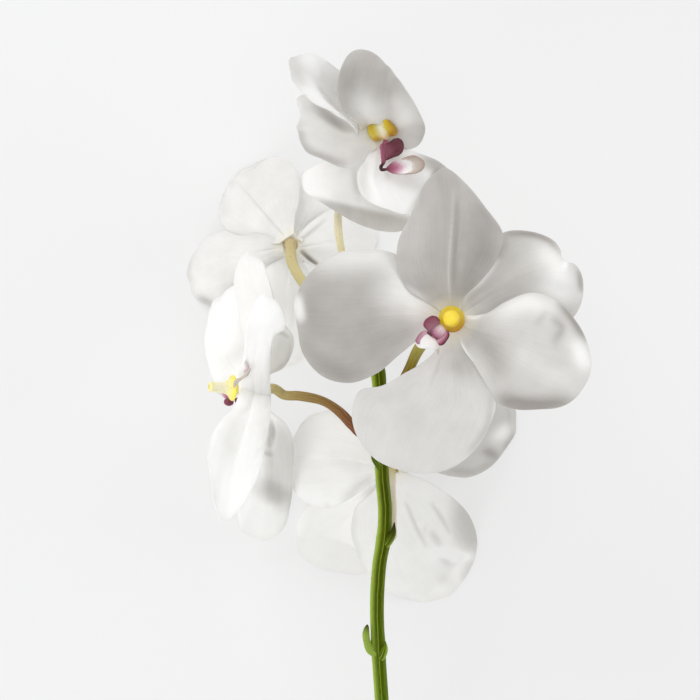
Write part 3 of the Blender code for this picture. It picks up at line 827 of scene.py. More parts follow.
@dataclass(frozen=True)
class Column:
    """The column of a bloom: a neck, a flared skirt, a waist and a rounded cap.

    profile holds millimetres along the face, or along its own axis, from the heart, and the
    radius there.  off is how far it stands off the heart, wings widens the skirt to both
    sides of the lip, and notch hollows it on the lip's side.  Around waist, saddle hollows
    it away from the lip and base swells it towards it.  skirt_mm and waist_mm are how far
    these two reach along it, and notch_turn, base_turn and saddle_turn how far the three
    reach round it.  brown is how brown its skirt is, and brown_and_shade_turn the angle from the
    lip's side around which it is brown; on the front column this brown is painted shade on
    the side turned from the light.
    """

    profile: tuple[Pair, ...]
    finish: ColumnFinish
    wings: float = 0.08
    notch: float = 0.16
    notch_turn: float = 0.5
    axis: Place | None = None
    off: float = 0.0
    skirt_mm: float = 2.2
    waist: float = 4.3
    waist_mm: float = 1.5
    saddle: float = 0.0
    saddle_turn: float = 0.9
    base: float = 0.0
    base_turn: float = 0.6
    brown: float = 0.0
    brown_and_shade_turn: float = 0.0
    brown_and_shade_spread: float = 0.8
    sharp: float = 1.2

    def build(self, bloom: str, heart: np.ndarray, face: np.ndarray, lip: np.ndarray) -> bpy.types.Object:
        """Build and dress the column.

        Formula: radius = profile * (1 + wings * skirt * sin^2 turn - notch * skirt *
        bell(turn) - saddle * middle * bell(|turn| - pi) + base * middle * bell(turn)), with
        turn measured from the lip's side, and skirt and middle bell curves along the column
        around its widest place and its waist.

        Args:
            bloom: name of its bloom.
            heart: the bloom's centre.
            face: the direction that the bloom faces.
            lip: the direction from the heart to the lip.

        Returns:
            The piece.
        """
        rows, sides = Detail.COLUMN.value
        heart = heart + face * self.off
        if self.axis:
            face = unit(self.axis)
            lip = unit(lip - face * np.dot(lip, face))
        along, radius = smooth_curve(self.profile, rows).T
        radius = np.maximum(radius, 0.05)
        turn = FULL_TURN * np.arange(sides) / sides
        turn = np.where(turn > np.pi, turn - FULL_TURN, turn)
        skirt = bell(along - along[np.argmax(radius)], self.skirt_mm)[:, None]
        middle = bell(along - self.waist, self.waist_mm)[:, None]
        flare = self.wings * np.sin(turn) ** 2 - self.notch * bell(turn, self.notch_turn)
        hips = (self.base * bell(turn, self.base_turn)
                - self.saddle * bell(abs(turn) - np.pi, self.saddle_turn))
        radii = radius[:, None] * (1 + skirt * flare + middle * hips)
        # Brown round the skirt: real brown on the lip's side, and painted shade on the side turned from the
        # light where brown_and_shade_turn is set.
        wide = np.clip(1.6 * radius / radius.max() - 0.6, 0.0, 1.0)[:, None]
        tint = self.brown * wide * bell(turn - self.brown_and_shade_turn, self.brown_and_shade_spread)
        shell = tube(heart + face * along[:, None], radii, np.linspace(0.0, 1.0, rows), tint, lip)
        return shell.to_piece(f"{bloom}_column", Slot.COLUMN, self.finish.make(), self.sharp)


@dataclass(frozen=True)
class LipFrame:
    """Reads a lip's places in millimetres outward, sideways and forward from its foot."""

    foot: np.ndarray
    axes: np.ndarray

    def spots(self, places: Points) -> np.ndarray:
        """Millimetres along X, Y and Z of (n, 3) places."""
        return self.foot + np.asarray(places, float) @ self.axes


@dataclass(frozen=True)
class Lobe:
    """One lobe of a lip: a cupped blade from a short base to a rim of places.

    tints are the finish's tint at the base, the middle and the rim.
    """

    base: tuple[Place, Place]
    rim: tuple[Place, ...]
    tints: tuple[float, float, float]
    belly: float = 0.6
    dark_rim: float = 1.0
    shoulder: float = 0.3
    thickness: float = 0.8
    rim_thickness: float = 0.35
    ripple: float = 0.15
    relief_passes: int = 4
    normal_passes: int = 10

    def shell(self, view: Viewpoint | LipFrame, seed: int) -> Shell:
        """The lobe as a closed slab.

        Formula: the patch between base and rim, less belly times a dome and plus waves at
        the rim, both along the patch's mean normal.

        Args:
            view: turns the lobe's places into millimetres.
            seed: picks its waves.

        Returns:
            The shell.
        """
        grid = coons_patch(view.spots((self.base[0], *self.rim, self.base[1])), self.shoulder, Detail.LOBE)
        u, v = shares(*Detail.LOBE.value)
        rim = nearness(u, v)
        normal = unit(grid_normals(grid).mean(axis=(0, 1)))
        lift = self.ripple * swell(v, u, seed, 2) * rim - self.belly * bulge(u, v)
        lift = lift if normal[2] >= 0 else -lift
        grid = evened(grid, self.relief_passes, keep_rim=True) + normal * lift[..., None]
        return slab(grid, self.thickness + (self.rim_thickness - self.thickness) * rim ** 2,
                    self.normal_passes, rim ** 2 * self.dark_rim, np.interp(u, (0.0, 0.5, 1.0), self.tints))


@dataclass(frozen=True)
class Stalk:
    """A round part along a line of places, with its radius and tint at each.

    On a lip both of its ends are rounded.  On the stem, where green is set to the share of
    the stem's length whose green it has, it is a bract or a stub and only its tip is.
    """

    places: tuple[Place, ...]
    radii: tuple[float, ...]
    tints: tuple[float, ...]
    green: float | None = None

    def shell(self, view: Viewpoint | LipFrame) -> Shell:
        """The stalk as a closed tube.

        Formula: the radii between the places, times the square root of 1 - x^8 with x from
        -1 to 1 along a lip's part, or of 1 - x^6 with x from 0 to 1 along a bract.

        Args:
            view: turns the places into millimetres.

        Returns:
            The shell.
        """
        rows, sides = Detail.STALK.value
        places = np.column_stack([view.spots(self.places), self.radii, self.tints])
        line = smooth_curve(places, rows)
        share = np.linspace(0.0, 1.0, rows)
        if self.green is None:
            ends = np.clip(1 - np.abs(2 * share - 1) ** 8, 0.02, 1.0)
            along, tint = share, line[:, 4]
        else:
            ends = np.clip(1 - share ** 6, 0.01, 1.0)
            along, tint = np.full(rows, self.green), np.clip(line[:, 4], 0.0, 1.0)
        radii = np.repeat((line[:, 3] * np.sqrt(ends))[:, None], sides, axis=1)
        return tube(line[:, :3], radii, along, tint)


@dataclass(frozen=True)
class Lip:
    """The lip of a bloom: its stalks and lobes in one piece.

    Where local is set the places are millimetres outward, sideways and forward from the
    lip's foot, times size, and else pixels and height.
    """

    stalks: tuple[Stalk, ...]
    lobes: tuple[Lobe, ...]
    local: bool = False
    size: float = 1.0
    rise: float = 0.0
    first_seed: int = 300

    def build(self, bloom: str, heart: np.ndarray, face: np.ndarray, lip: np.ndarray,
              material: bpy.types.Material) -> bpy.types.Object:
        """Build and dress the lip.

        Args:
            bloom: name of its bloom.
            heart: the bloom's centre.
            face: the direction that the bloom faces.
            lip: the direction from the heart to the lip, across the face.
            material: its finish.

        Returns:
            The piece.
        """
        axes = self.size * np.array([lip, np.cross(face, lip), face])
        view = LipFrame(heart + face * self.rise, axes) if self.local else VIEW
        shells = [stalk.shell(view) for stalk in self.stalks]
        shells += [lobe.shell(view, self.first_seed + number) for number, lobe in enumerate(self.lobes)]
        return Shell.joined(shells).to_piece(f"{bloom}_lip", Slot.LIP, material)


@dataclass(frozen=True)
class Pedicel:
    """A bloom's own stalk: from its seat on the stem to a collar behind the claws.

    route holds places from the stem to the bloom, and seat_px how far down the frame the
    seat is.  The other values are lengths, and shares of the radius by which it swells.
    """

    route: tuple[Place, ...]
    seat_px: float
    finish: StalkFinish
    radius: float = 1.7
    collar_radius: float = 3.4
    collar_length: float = 1.2
    collar_flare: float = 1.3
    head_radius: float = 2.5
    head_step: float = 0.2
    head_taper: float = 0.92
    approach: float = 6.0
    take_off: float = 2.5
    seat_gap: float = 0.3
    stem_radius: float = 2.45
    foot_length: float = 2.2
    foot_swelling: float = 0.22
    swelling: float = 0.06
    swelling_mm: float = 40.0
    ribs: int = 6
    rib_depth: float = 0.035
    sharp: float = 1.0

    def seat(self, towards: np.ndarray, stem: np.ndarray) -> list[np.ndarray]:
        """Two points where the pedicel leaves the stem: on its skin, and straight out.

        Args:
            towards: the next point of the route.
            stem: (n, 3) middle line of the stem.

        Returns:
            The two points.
        """
        level = VIEW.spots((0.0, self.seat_px, VIEW.stem_level))[1]
        at = int(np.argmin(abs(stem[:, 1] - level)))
        along = unit(stem[min(at + 1, len(stem) - 1)] - stem[max(at - 1, 0)])
        out, reach = -along, self.seat_gap
        if at > 0:
            out = towards - stem[at]
            out, reach = unit(out - along * np.dot(out, along)), self.stem_radius + self.seat_gap
        return [stem[at] + out * (reach + more) for more in (0.0, self.take_off)]

    def build(self, bloom: str, heart: np.ndarray, face: np.ndarray, back: float,
              stem: np.ndarray) -> bpy.types.Object:
        """Build and dress the pedicel.

        Formula: a tube of the route's radius, a little thicker at its foot and with shallow
        swellings along it, that opens into the collar and ends in the head.

        Args:
            bloom: name of its bloom.
            heart: the bloom's centre.
            face: the direction that the bloom faces.
            back: how far behind the heart the collar ends.
            stem: middle line of the stem.

        Returns:
            The piece.
        """
        rows, sides = Detail.PEDICEL.value
        way = list(VIEW.spots(self.route))
        ends = [heart - face * (back + more)
                for more in (self.approach, 2.0 * self.collar_length, self.collar_length)]
        path = smooth_curve(self.seat(way[0], stem) + way + ends, rows)
        share = np.linspace(0.0, 1.0, rows)
        length = np.linalg.norm(np.diff(path, axis=0), axis=1).sum()
        radii = self.radius * (1 + self.foot_swelling * bell(share * length, self.foot_length)
                               + self.swelling * swell(share * length / self.swelling_mm, 0 * share, 5, 3))
        radii += (self.collar_radius - self.radius) * bell((1 - share) * length, self.collar_flare)
        cap = heart - face * np.array([[back], [back - self.head_step], [0.3 * back], [0.0]])
        cap_radii = [self.collar_radius, self.head_radius, self.head_radius,
                     self.head_taper * self.head_radius]
        along = np.concatenate([share, np.ones(len(cap))])
        turn = FULL_TURN * np.arange(sides) / sides
        ribs = 1 + self.rib_depth * np.cos(self.ribs * turn) * (along < 1)[:, None]
        radii = np.concatenate([radii, cap_radii])[:, None] * ribs
        shell = tube(np.concatenate([path, cap]), radii, along, 0 * along)
        return shell.to_piece(f"{bloom}_pedicel", Slot.PEDICEL, self.finish.make(), self.sharp)


@dataclass(frozen=True)
class Bloom:
    """One bloom: the place of its heart, where it faces, and its parts."""

    name: str
    heart: Place
    face: Place
    lip_way: Place
    column: Column
    lip: Lip
    pedicel: Pedicel
    tepals: tuple[Tepal, ...]
    seed: int
    collar_gap: float = 0.3

    def build(self, white: bpy.types.Material, maroon: bpy.types.Material,
              stem: np.ndarray) -> list[bpy.types.Object]:
        """Build and dress all pieces of the bloom.

        Args:
            white: the finish of its tepals.
            maroon: the finish of its lip.
            stem: middle line of the stem.

        Returns:
            The pieces.
        """
        heart, face = VIEW.spots(self.heart), unit(self.face)
        lip = unit(self.lip_way - face * np.dot(self.lip_way, face))
        pieces = [tepal.build(self.name, heart, face, self.seed + number, white)
                  for number, tepal in enumerate(self.tepals)]
        pieces.append(self.column.build(self.name, heart, face, lip))
        pieces.append(self.lip.build(self.name, heart, face, lip, maroon))
        back = max(tepal.thickness / 2 - tepal.layer for tepal in self.tepals) + self.collar_gap
        pieces.append(self.pedicel.build(self.name, heart, face, back, stem))
        return pieces


@dataclass(frozen=True)
class Stem:
    """The flower stem from its flowering tip down to its cut end, with bracts and a stub.

    nodes_px is how far down the frame each node is, and node_mm how far it swells along.
    tip_share is the share of its length over which it narrows to the tip.  From cut_share
    on, over cut_fade, it turns as brown as cut_brown.
    """

    route: tuple[Place, ...]
    bracts: tuple[Stalk, ...]
    finish: StalkFinish
    radius: float = 2.45
    tip_radius: float = 1.7
    tip_share: float = 0.025
    nodes_px: tuple[float, ...] = (335.0, 374.0, 420.0, 452.0, 540.0, 650.0)
    node_swelling: float = 0.10
    node_mm: float = 3.5
    unevenness: float = 0.02
    ribs: int = 9
    rib_depth: float = 0.012
    cut_share: float = 0.988
    cut_fade: float = 0.0125
    cut_brown: float = 0.75
    sharp: float = 1.0

    def middle_line(self, count: int) -> np.ndarray:
        """The stem's middle line as points from its tip to its cut end."""
        return smooth_curve(VIEW.spots(self.route), count)

    def build(self) -> bpy.types.Object:
        """Build and dress the stem.

        Formula: radius * (1 + swellings at the nodes + shallow long waves + faint ribs round
        it), narrowing to the tip.  The tint rises at the cut end, which is brown.

        Returns:
            The piece.
        """
        rows, sides = Detail.STEM.value
        path = self.middle_line(rows)
        share = np.linspace(0.0, 1.0, rows)
        levels = VIEW.spots([(0.0, px, VIEW.stem_level) for px in self.nodes_px])[:, 1]
        nodes = sum(bell(path[:, 1] - level, self.node_mm) for level in levels)
        radius = self.tip_radius + (self.radius - self.tip_radius) * np.clip(share / self.tip_share, 0, 1)
        turn = FULL_TURN * np.arange(sides)[None] / sides
        radii = radius[:, None] * (1 + self.node_swelling * nodes[:, None]
                                   + self.unevenness * swell(3 * share[:, None], 0.3 * np.cos(turn), 9, 3)
                                   + self.rib_depth * np.cos(self.ribs * turn))
        cut = np.clip((share - self.cut_share) / self.cut_fade, 0, self.cut_brown)
        shells = [tube(path, radii, share, cut), *(bract.shell(VIEW) for bract in self.bracts)]
        return Shell.joined(shells).to_piece("stem", Slot.STEM, self.finish.make(), self.sharp)


@dataclass(frozen=True)
class Light:
    """A rectangular soft light: its place and size in metres, and its power in watts."""

    name: str
    place: Place
    size: Pair
    power: float

    def make(self, aim: Place) -> bpy.types.Object:
        """Make the light, turned towards a place.

        Args:
            aim: the place in metres.

        Returns:
            The light.
        """
        data = bpy.data.lights.new(self.name, "AREA")
        data.shape = "RECTANGLE"
        data.size, data.size_y = self.size
        data.energy = self.power
        light = put(self.name, data)
        back = unit(np.subtract(self.place, aim))
        right = unit(np.cross([0.0, 0.0, 1.0], back))
        turned = np.eye(4)
        turned[:3] = np.column_stack([right, np.cross(back, right), back, self.place])
        light.matrix_world = Matrix(turned.tolist())
        return light


@dataclass(frozen=True)
class Studio:
    """Plain pale surface and soft light: a broad key from the upper left and softer fills."""

    floor_half: float = 3.0
    floor_drop: float = 0.0004
    floor_colour: str = "9c9c9c"
    floor_glow: float = 0.55
    sky: str = "f3f4f5"
    sky_strength: float = 0.46
    aim: Place = (-0.01, 0.06, 0.05)
    lights: tuple[Light, ...] = (
        Light("key", (-0.44, 0.74, 0.55), (0.55, 0.55), 3.7),
        Light("side", (-1.0, -0.1, 0.38), (0.8, 0.5), 1.0),
        Light("kick", (-0.5, -0.72, 0.5), (0.6, 0.5), 3.6),
        Light("far", (0.85, 0.2, 0.45), (0.6, 0.5), 2.4),
        Light("fill", (0.1, 0.3, 1.6), (1.4, 1.4), 5.3))

    def make_floor(self) -> bpy.types.Object:
        """The pale surface, faintly lit from within like a light table."""
        half, low = self.floor_half, -self.floor_drop
        mesh = bpy.data.meshes.new("floor")
        mesh.from_pydata([(-half, -half, low), (half, -half, low), (half, half, low), (-half, half, low)],
                         [], [(0, 1, 2, 3)])
        material, tree, shader = new_material("floor_matt_acrylic")
        feed(tree, shader, {"Base Color": linear(self.floor_colour), "Roughness": 0.9,
                            "Emission Color": linear("ffffff"), "Emission Strength": self.floor_glow,
                            "Specular IOR Level": 0.0})
        mesh.materials.append(material)
        floor = put("floor", mesh)
        return floor

    def build(self) -> None:
        """Make the floor, the lights and the even light from all round."""
        self.make_floor()
        for light in self.lights:
            light.make(self.aim)
        world = bpy.data.worlds.new("studio")
        world.use_nodes = True
        feed(world.node_tree, world.node_tree.nodes["Background"],
             {"Color": linear(self.sky), "Strength": self.sky_strength})
        bpy.context.scene.world = world
        bpy.context.scene.view_settings.view_transform = "Standard"


# The near-white band around 0.48 along is a painted highlight on the top column's waist.
TOP_GOLD = ColumnFinish("column_gold_painted_highlight_saddle", ((0, "c4b04c"), (0.14, "d8c440"), (0.28, "d2b830"),
    (0.38, "dccf80"), (0.48, "f0ebdc"), (0.57, "ece3b4"), (0.66, "d4ba20"), (0.82, "bc9400"),
    (1, "a67c00")))
REAR_GOLD = ColumnFinish("column_gold_pale_waist", ((0, "ece9cf"), (0.16, "e8e2b4"), (0.26, "cfb23c"),
    (0.42, "d2b548"), (0.5, "e9e3c4"), (0.62, "efeacf"), (0.74, "c9a92a"), (1, "b8921a")))
FRONT_GOLD = ColumnFinish("column_gold_bright_cap", ((0, "ece9cf"), (0.16, "e2cf6a"), (0.3, "e6cc30"),
    (0.5, "dec224"), (0.6, "d6ba30"), (0.68, "f0da4c"), (0.8, "f2d63c"), (1, "ffe54a")))
SIDE_GOLD = ColumnFinish("column_gold_trumpet", ((0, "f6f4e4"), (0.34, "f4efca"), (0.44, "fbe94a"),
    (0.5, "fbee6a"), (0.58, "f8f0a8"), (0.7, "f8f3d4"), (0.86, "f8f2cc"), (0.96, "f8ee86"), (1, "f6e45a")))

STEM_GREEN = StalkFinish("stem_satin_green", ((0, "424b00"), (0.1, "4a5300"), (0.3, "3f4800"),
    (0.45, "445200"), (0.62, "476000"), (1, "93ab4c")), dark="2c2e08", roughness=0.4, streak="8f9e10",
    painted_highlight=0.7)
TOP_PEDICEL = StalkFinish("pedicel_straw", ((0, "cbb988"), (0.25, "ded3a6"), (0.5, "f4edcf"),
    (1, "f3ecd4")), dark="a98a4c")
FRONT_PEDICEL = StalkFinish("pedicel_green_brown", ((0, "6a3a14"), (0.28, "704a1a"), (0.42, "80701f"),
    (0.55, "a89e4e"), (1, "b5b062")), dark="4c2a12")
REAR_PEDICEL = StalkFinish("pedicel_golden_brown", ((0, "cfc592"), (0.5, "d2c791"), (0.8, "ccbd8e"),
    (1, "b9a274")), dark="a4865a")
SIDE_PEDICEL = StalkFinish("pedicel_olive_tan", ((0, "6d3a24"), (0.2, "7d4a30"), (0.45, "8a6a3c"),
    (0.7, "9c8650"), (1, "c6ba88")), dark="5e3a20")
LOWER_PEDICEL = StalkFinish("pedicel_pale_tan", ((0, "ddd3ba"), (0.55, "e2dac6"), (0.75, "c6bb88"),
    (1, "a8964e")), dark="b39c78")

LOCAL_STALK = Stalk(((2.9, 0, 1.3), (5, 0.05, 1.6), (7.2, -0.05, 2.2), (9.2, 0.1, 3.1), (10.6, 0, 4.6)),
    (0.8, 1, 1.4, 1.5, 1), (0.25, 0.2, 0.2, 0.2, 0.3))
LOCAL_LOBES = (Lobe(((5.4, -0.3, 1.9), (8.4, -0.3, 2.6)), ((4.8, -2.4, 3.1), (5, -4.6, 5), (6.2, -5.8, 6.8),
        (8, -5.2, 7), (9, -2.6, 4.8)), (0.25, 0.18, 0.15)),
    Lobe(((8.1, 0.4, 2.3), (5.1, 0.3, 1.7)), ((8.8, 2.7, 4.6), (7.8, 5.1, 6.9), (6, 5.6, 6.6),
        (4.8, 4.4, 4.8), (4.6, 2.3, 2.9)), (0.25, 0.18, 0.15)),
    Lobe(((9.7, -0.8, 3.3), (9.9, 1, 3.1)), ((10.4, -2.9, 6.1), (10.8, -3.7, 9.7), (11.2, -2.8, 13.4),
        (11, 0.1, 15.6), (11.2, 3, 13.3), (10.8, 3.9, 9.5), (10.4, 3.1, 5.9)), (0.2, 0.6, 0.78),
        dark_rim=0.3))

TOP_BLOOM = Bloom(
    name="top", heart=(368, 134, 63), face=(0.6, 0.13, 0.79), lip_way=(0.1, -0.88, 0.45), seed=11,
    column=Column(((-1.6, 1.6), (-1.2, 2.7), (-0.6, 3.3), (0.7, 3.6), (2.1, 3.5), (3.3, 3.2), (4.3, 3.1),
        (5.2, 3.3), (6.1, 3.75), (6.9, 3.75), (7.5, 3.1), (7.9, 1.6), (8.1, 0.1)), TOP_GOLD, notch=0,
        axis=(0.85, 0.33, 0.43), off=3.8, waist=3.9, saddle=0.52, base=0.42, brown=0.85, brown_and_shade_spread=0.6),
    lip=Lip(stalks=(Stalk(((386, 139, 67), (384.5, 148, 69), (384, 156, 70.5), (383.4, 162, 71.5),
                (382.6, 166, 72)), (0.9, 1.1, 1.1, 0.8, 0.5), (0.5, 0.34, 0.34, 0.28, 0.06)),
            Stalk(((383.4, 163.5, 72), (381, 167, 72.5), (381.6, 169.6, 73), (384.5, 169.6, 73.4),
                (388, 169.2, 73.8)), (0.5, 0.65, 0.6, 0.55, 0.4), (0.05, 0, 0, 0.02, 0.15))),
        lobes=(Lobe(((385, 144, 69), (384.5, 161, 71.5)), ((382.5, 143.2, 69), (380.3, 145, 69.5),
                (380.4, 151, 70.5), (381.4, 157, 71.5), (382.4, 162.5, 72)), (0.3, 0.4, 0.46), belly=-0.3,
                dark_rim=0),
            Lobe(((385, 160.5, 71.5), (385.5, 143.5, 69.5)), ((388.5, 159.4, 72.5), (393, 157, 74),
                (398.5, 155, 75.5), (402.4, 151, 76), (403.6, 146, 76), (402, 141, 75), (398.3, 138.3, 74),
                (394, 138.9, 72.5), (390.5, 141, 71)), (0.26, 0.12, 0.16), belly=1.6),
            Lobe(((386, 168.3, 73.4), (386.5, 170.3, 73.4)), ((391, 163.6, 75), (397, 160.6, 76),
                (403, 158.6, 77), (409, 156.3, 78), (414.5, 155.6, 78), (420, 158, 78), (424.2, 161.5, 78),
                (424.8, 165.5, 77.6), (422.5, 170, 77), (417, 173, 76.4), (409, 173.9, 76),
                (400, 174.3, 75.4), (393, 173.2, 74.6)), (0.16, 0.68, 1), belly=1, dark_rim=0.7))),
    pedicel=Pedicel(((349, 275, 56.5), (341, 248, 56.5), (338, 218, 54), (346, 180, 49), (357, 150, 49)),
        305, TOP_PEDICEL, radius=1.4, collar_radius=2.2, head_radius=2),
    tepals=(Tepal("petal_a", 1, -2.5, ((388, 144, 59), (403, 149, 62), (418, 146, 65), (425, 129, 70),
            (417, 108, 75), (403, 86, 80), (388, 66, 85), (369, 51, 88), (352, 55, 89), (341, 70, 88),
            (337, 88, 85), (342, 108, 81), (356, 119, 75)), tone=0.8,
            folds=(Fold(((362, 100), (370, 116), (376, 130)), 15, 0.3, -0.5),
                Fold(((398, 104), (406, 122), (410, 146)), 15, 0, -0.52),
                Fold(((388, 88), (391, 118)), 5, -0.3, 0.08), Fold(((344, 74), (350, 95)), 9, 0, 0.06))),
        Tepal("dorsal_sepal", 0, -2, ((352, 101, 72), (343, 76, 78), (330, 63, 83), (314, 53, 87),
            (299, 55, 89), (288, 60, 90), (291, 70, 91), (300, 86, 90), (309, 100, 88), (330, 111, 84),
            (348, 121, 76)),
            folds=(Fold(((291, 60), (297, 72), (303, 84)), 8, -0.6, 0.42),
                Fold(((302, 90), (322, 108), (346, 124)), 6, 0, 0.05),
                Fold(((308, 56), (322, 84), (345, 112)), 3.5, 0.5, 0),
                Fold(((324, 72), (338, 90), (350, 108)), 9, 0.6, 0))),
        Tepal("petal_b", -1.2, 1, ((350, 121, 66), (322, 104, 70), (303, 95, 77), (295, 102, 82),
            (299, 118, 83), (298, 135, 83), (305, 148, 82), (322, 158, 79), (342, 166, 73), (357, 166, 67),
            (370, 155, 65)), tone=0.28, foot=((366, 126, 65.5), (377, 147, 65.5)),
            folds=(Fold(((316, 106), (330, 117), (348, 128)), 7.5, -0.8, 0.5, 3),
                Fold(((298, 104), (300, 120)), 5, 0.8, -0.1),
                Fold(((298, 128), (305, 147), (322, 157), (344, 165)), 5, -0.6, 0.5),
                Fold(((318, 134), (340, 142)), 9, 0, 0.06))),
        Tepal("lateral_sepal_a", -2.6, 1.5, ((344, 152, 60), (318, 164, 61), (303, 176, 62), (304, 190, 62),
            (318, 200, 62), (335, 211, 61), (358, 224, 60), (382, 231, 58), (406, 229, 57), (420, 212, 57),
            (418, 190, 56), (404, 168, 56)),
            folds=(Fold(((320, 198), (345, 201), (372, 207), (408, 216)), 6, 1.4, 0.14),
                Fold(((312, 207), (350, 216), (380, 222.5), (420, 230)), 11.5, 0, 0.7, 6),
                Fold(((355, 168), (360, 198)), 4, -0.5, 0.2))),
        Tepal("lateral_sepal_b", -1.2, 1, ((366, 158, 66), (358, 172, 68), (359, 188, 70), (372, 203, 73),
            (393, 212, 74), (415, 216, 74), (438, 206, 71), (452, 188, 68), (450, 172, 66), (438, 161, 65),
            (425, 154, 64), (408, 148, 62), (394, 146, 60)), tone=0.04, foot=((373, 141, 63),
            (390, 137, 60)),
            folds=(Fold(((366, 165), (364, 182), (370, 200)), 4.5, -0.8, 0.25),
                Fold(((375, 160), (373, 180), (382, 200)), 3, 0.4, -0.05),
                Fold(((426, 156), (440, 166), (442, 186)), 12, 0, 0.8, 4),
                Fold(((408, 216), (424, 192), (440, 172)), 4, 0, 0.5)))))

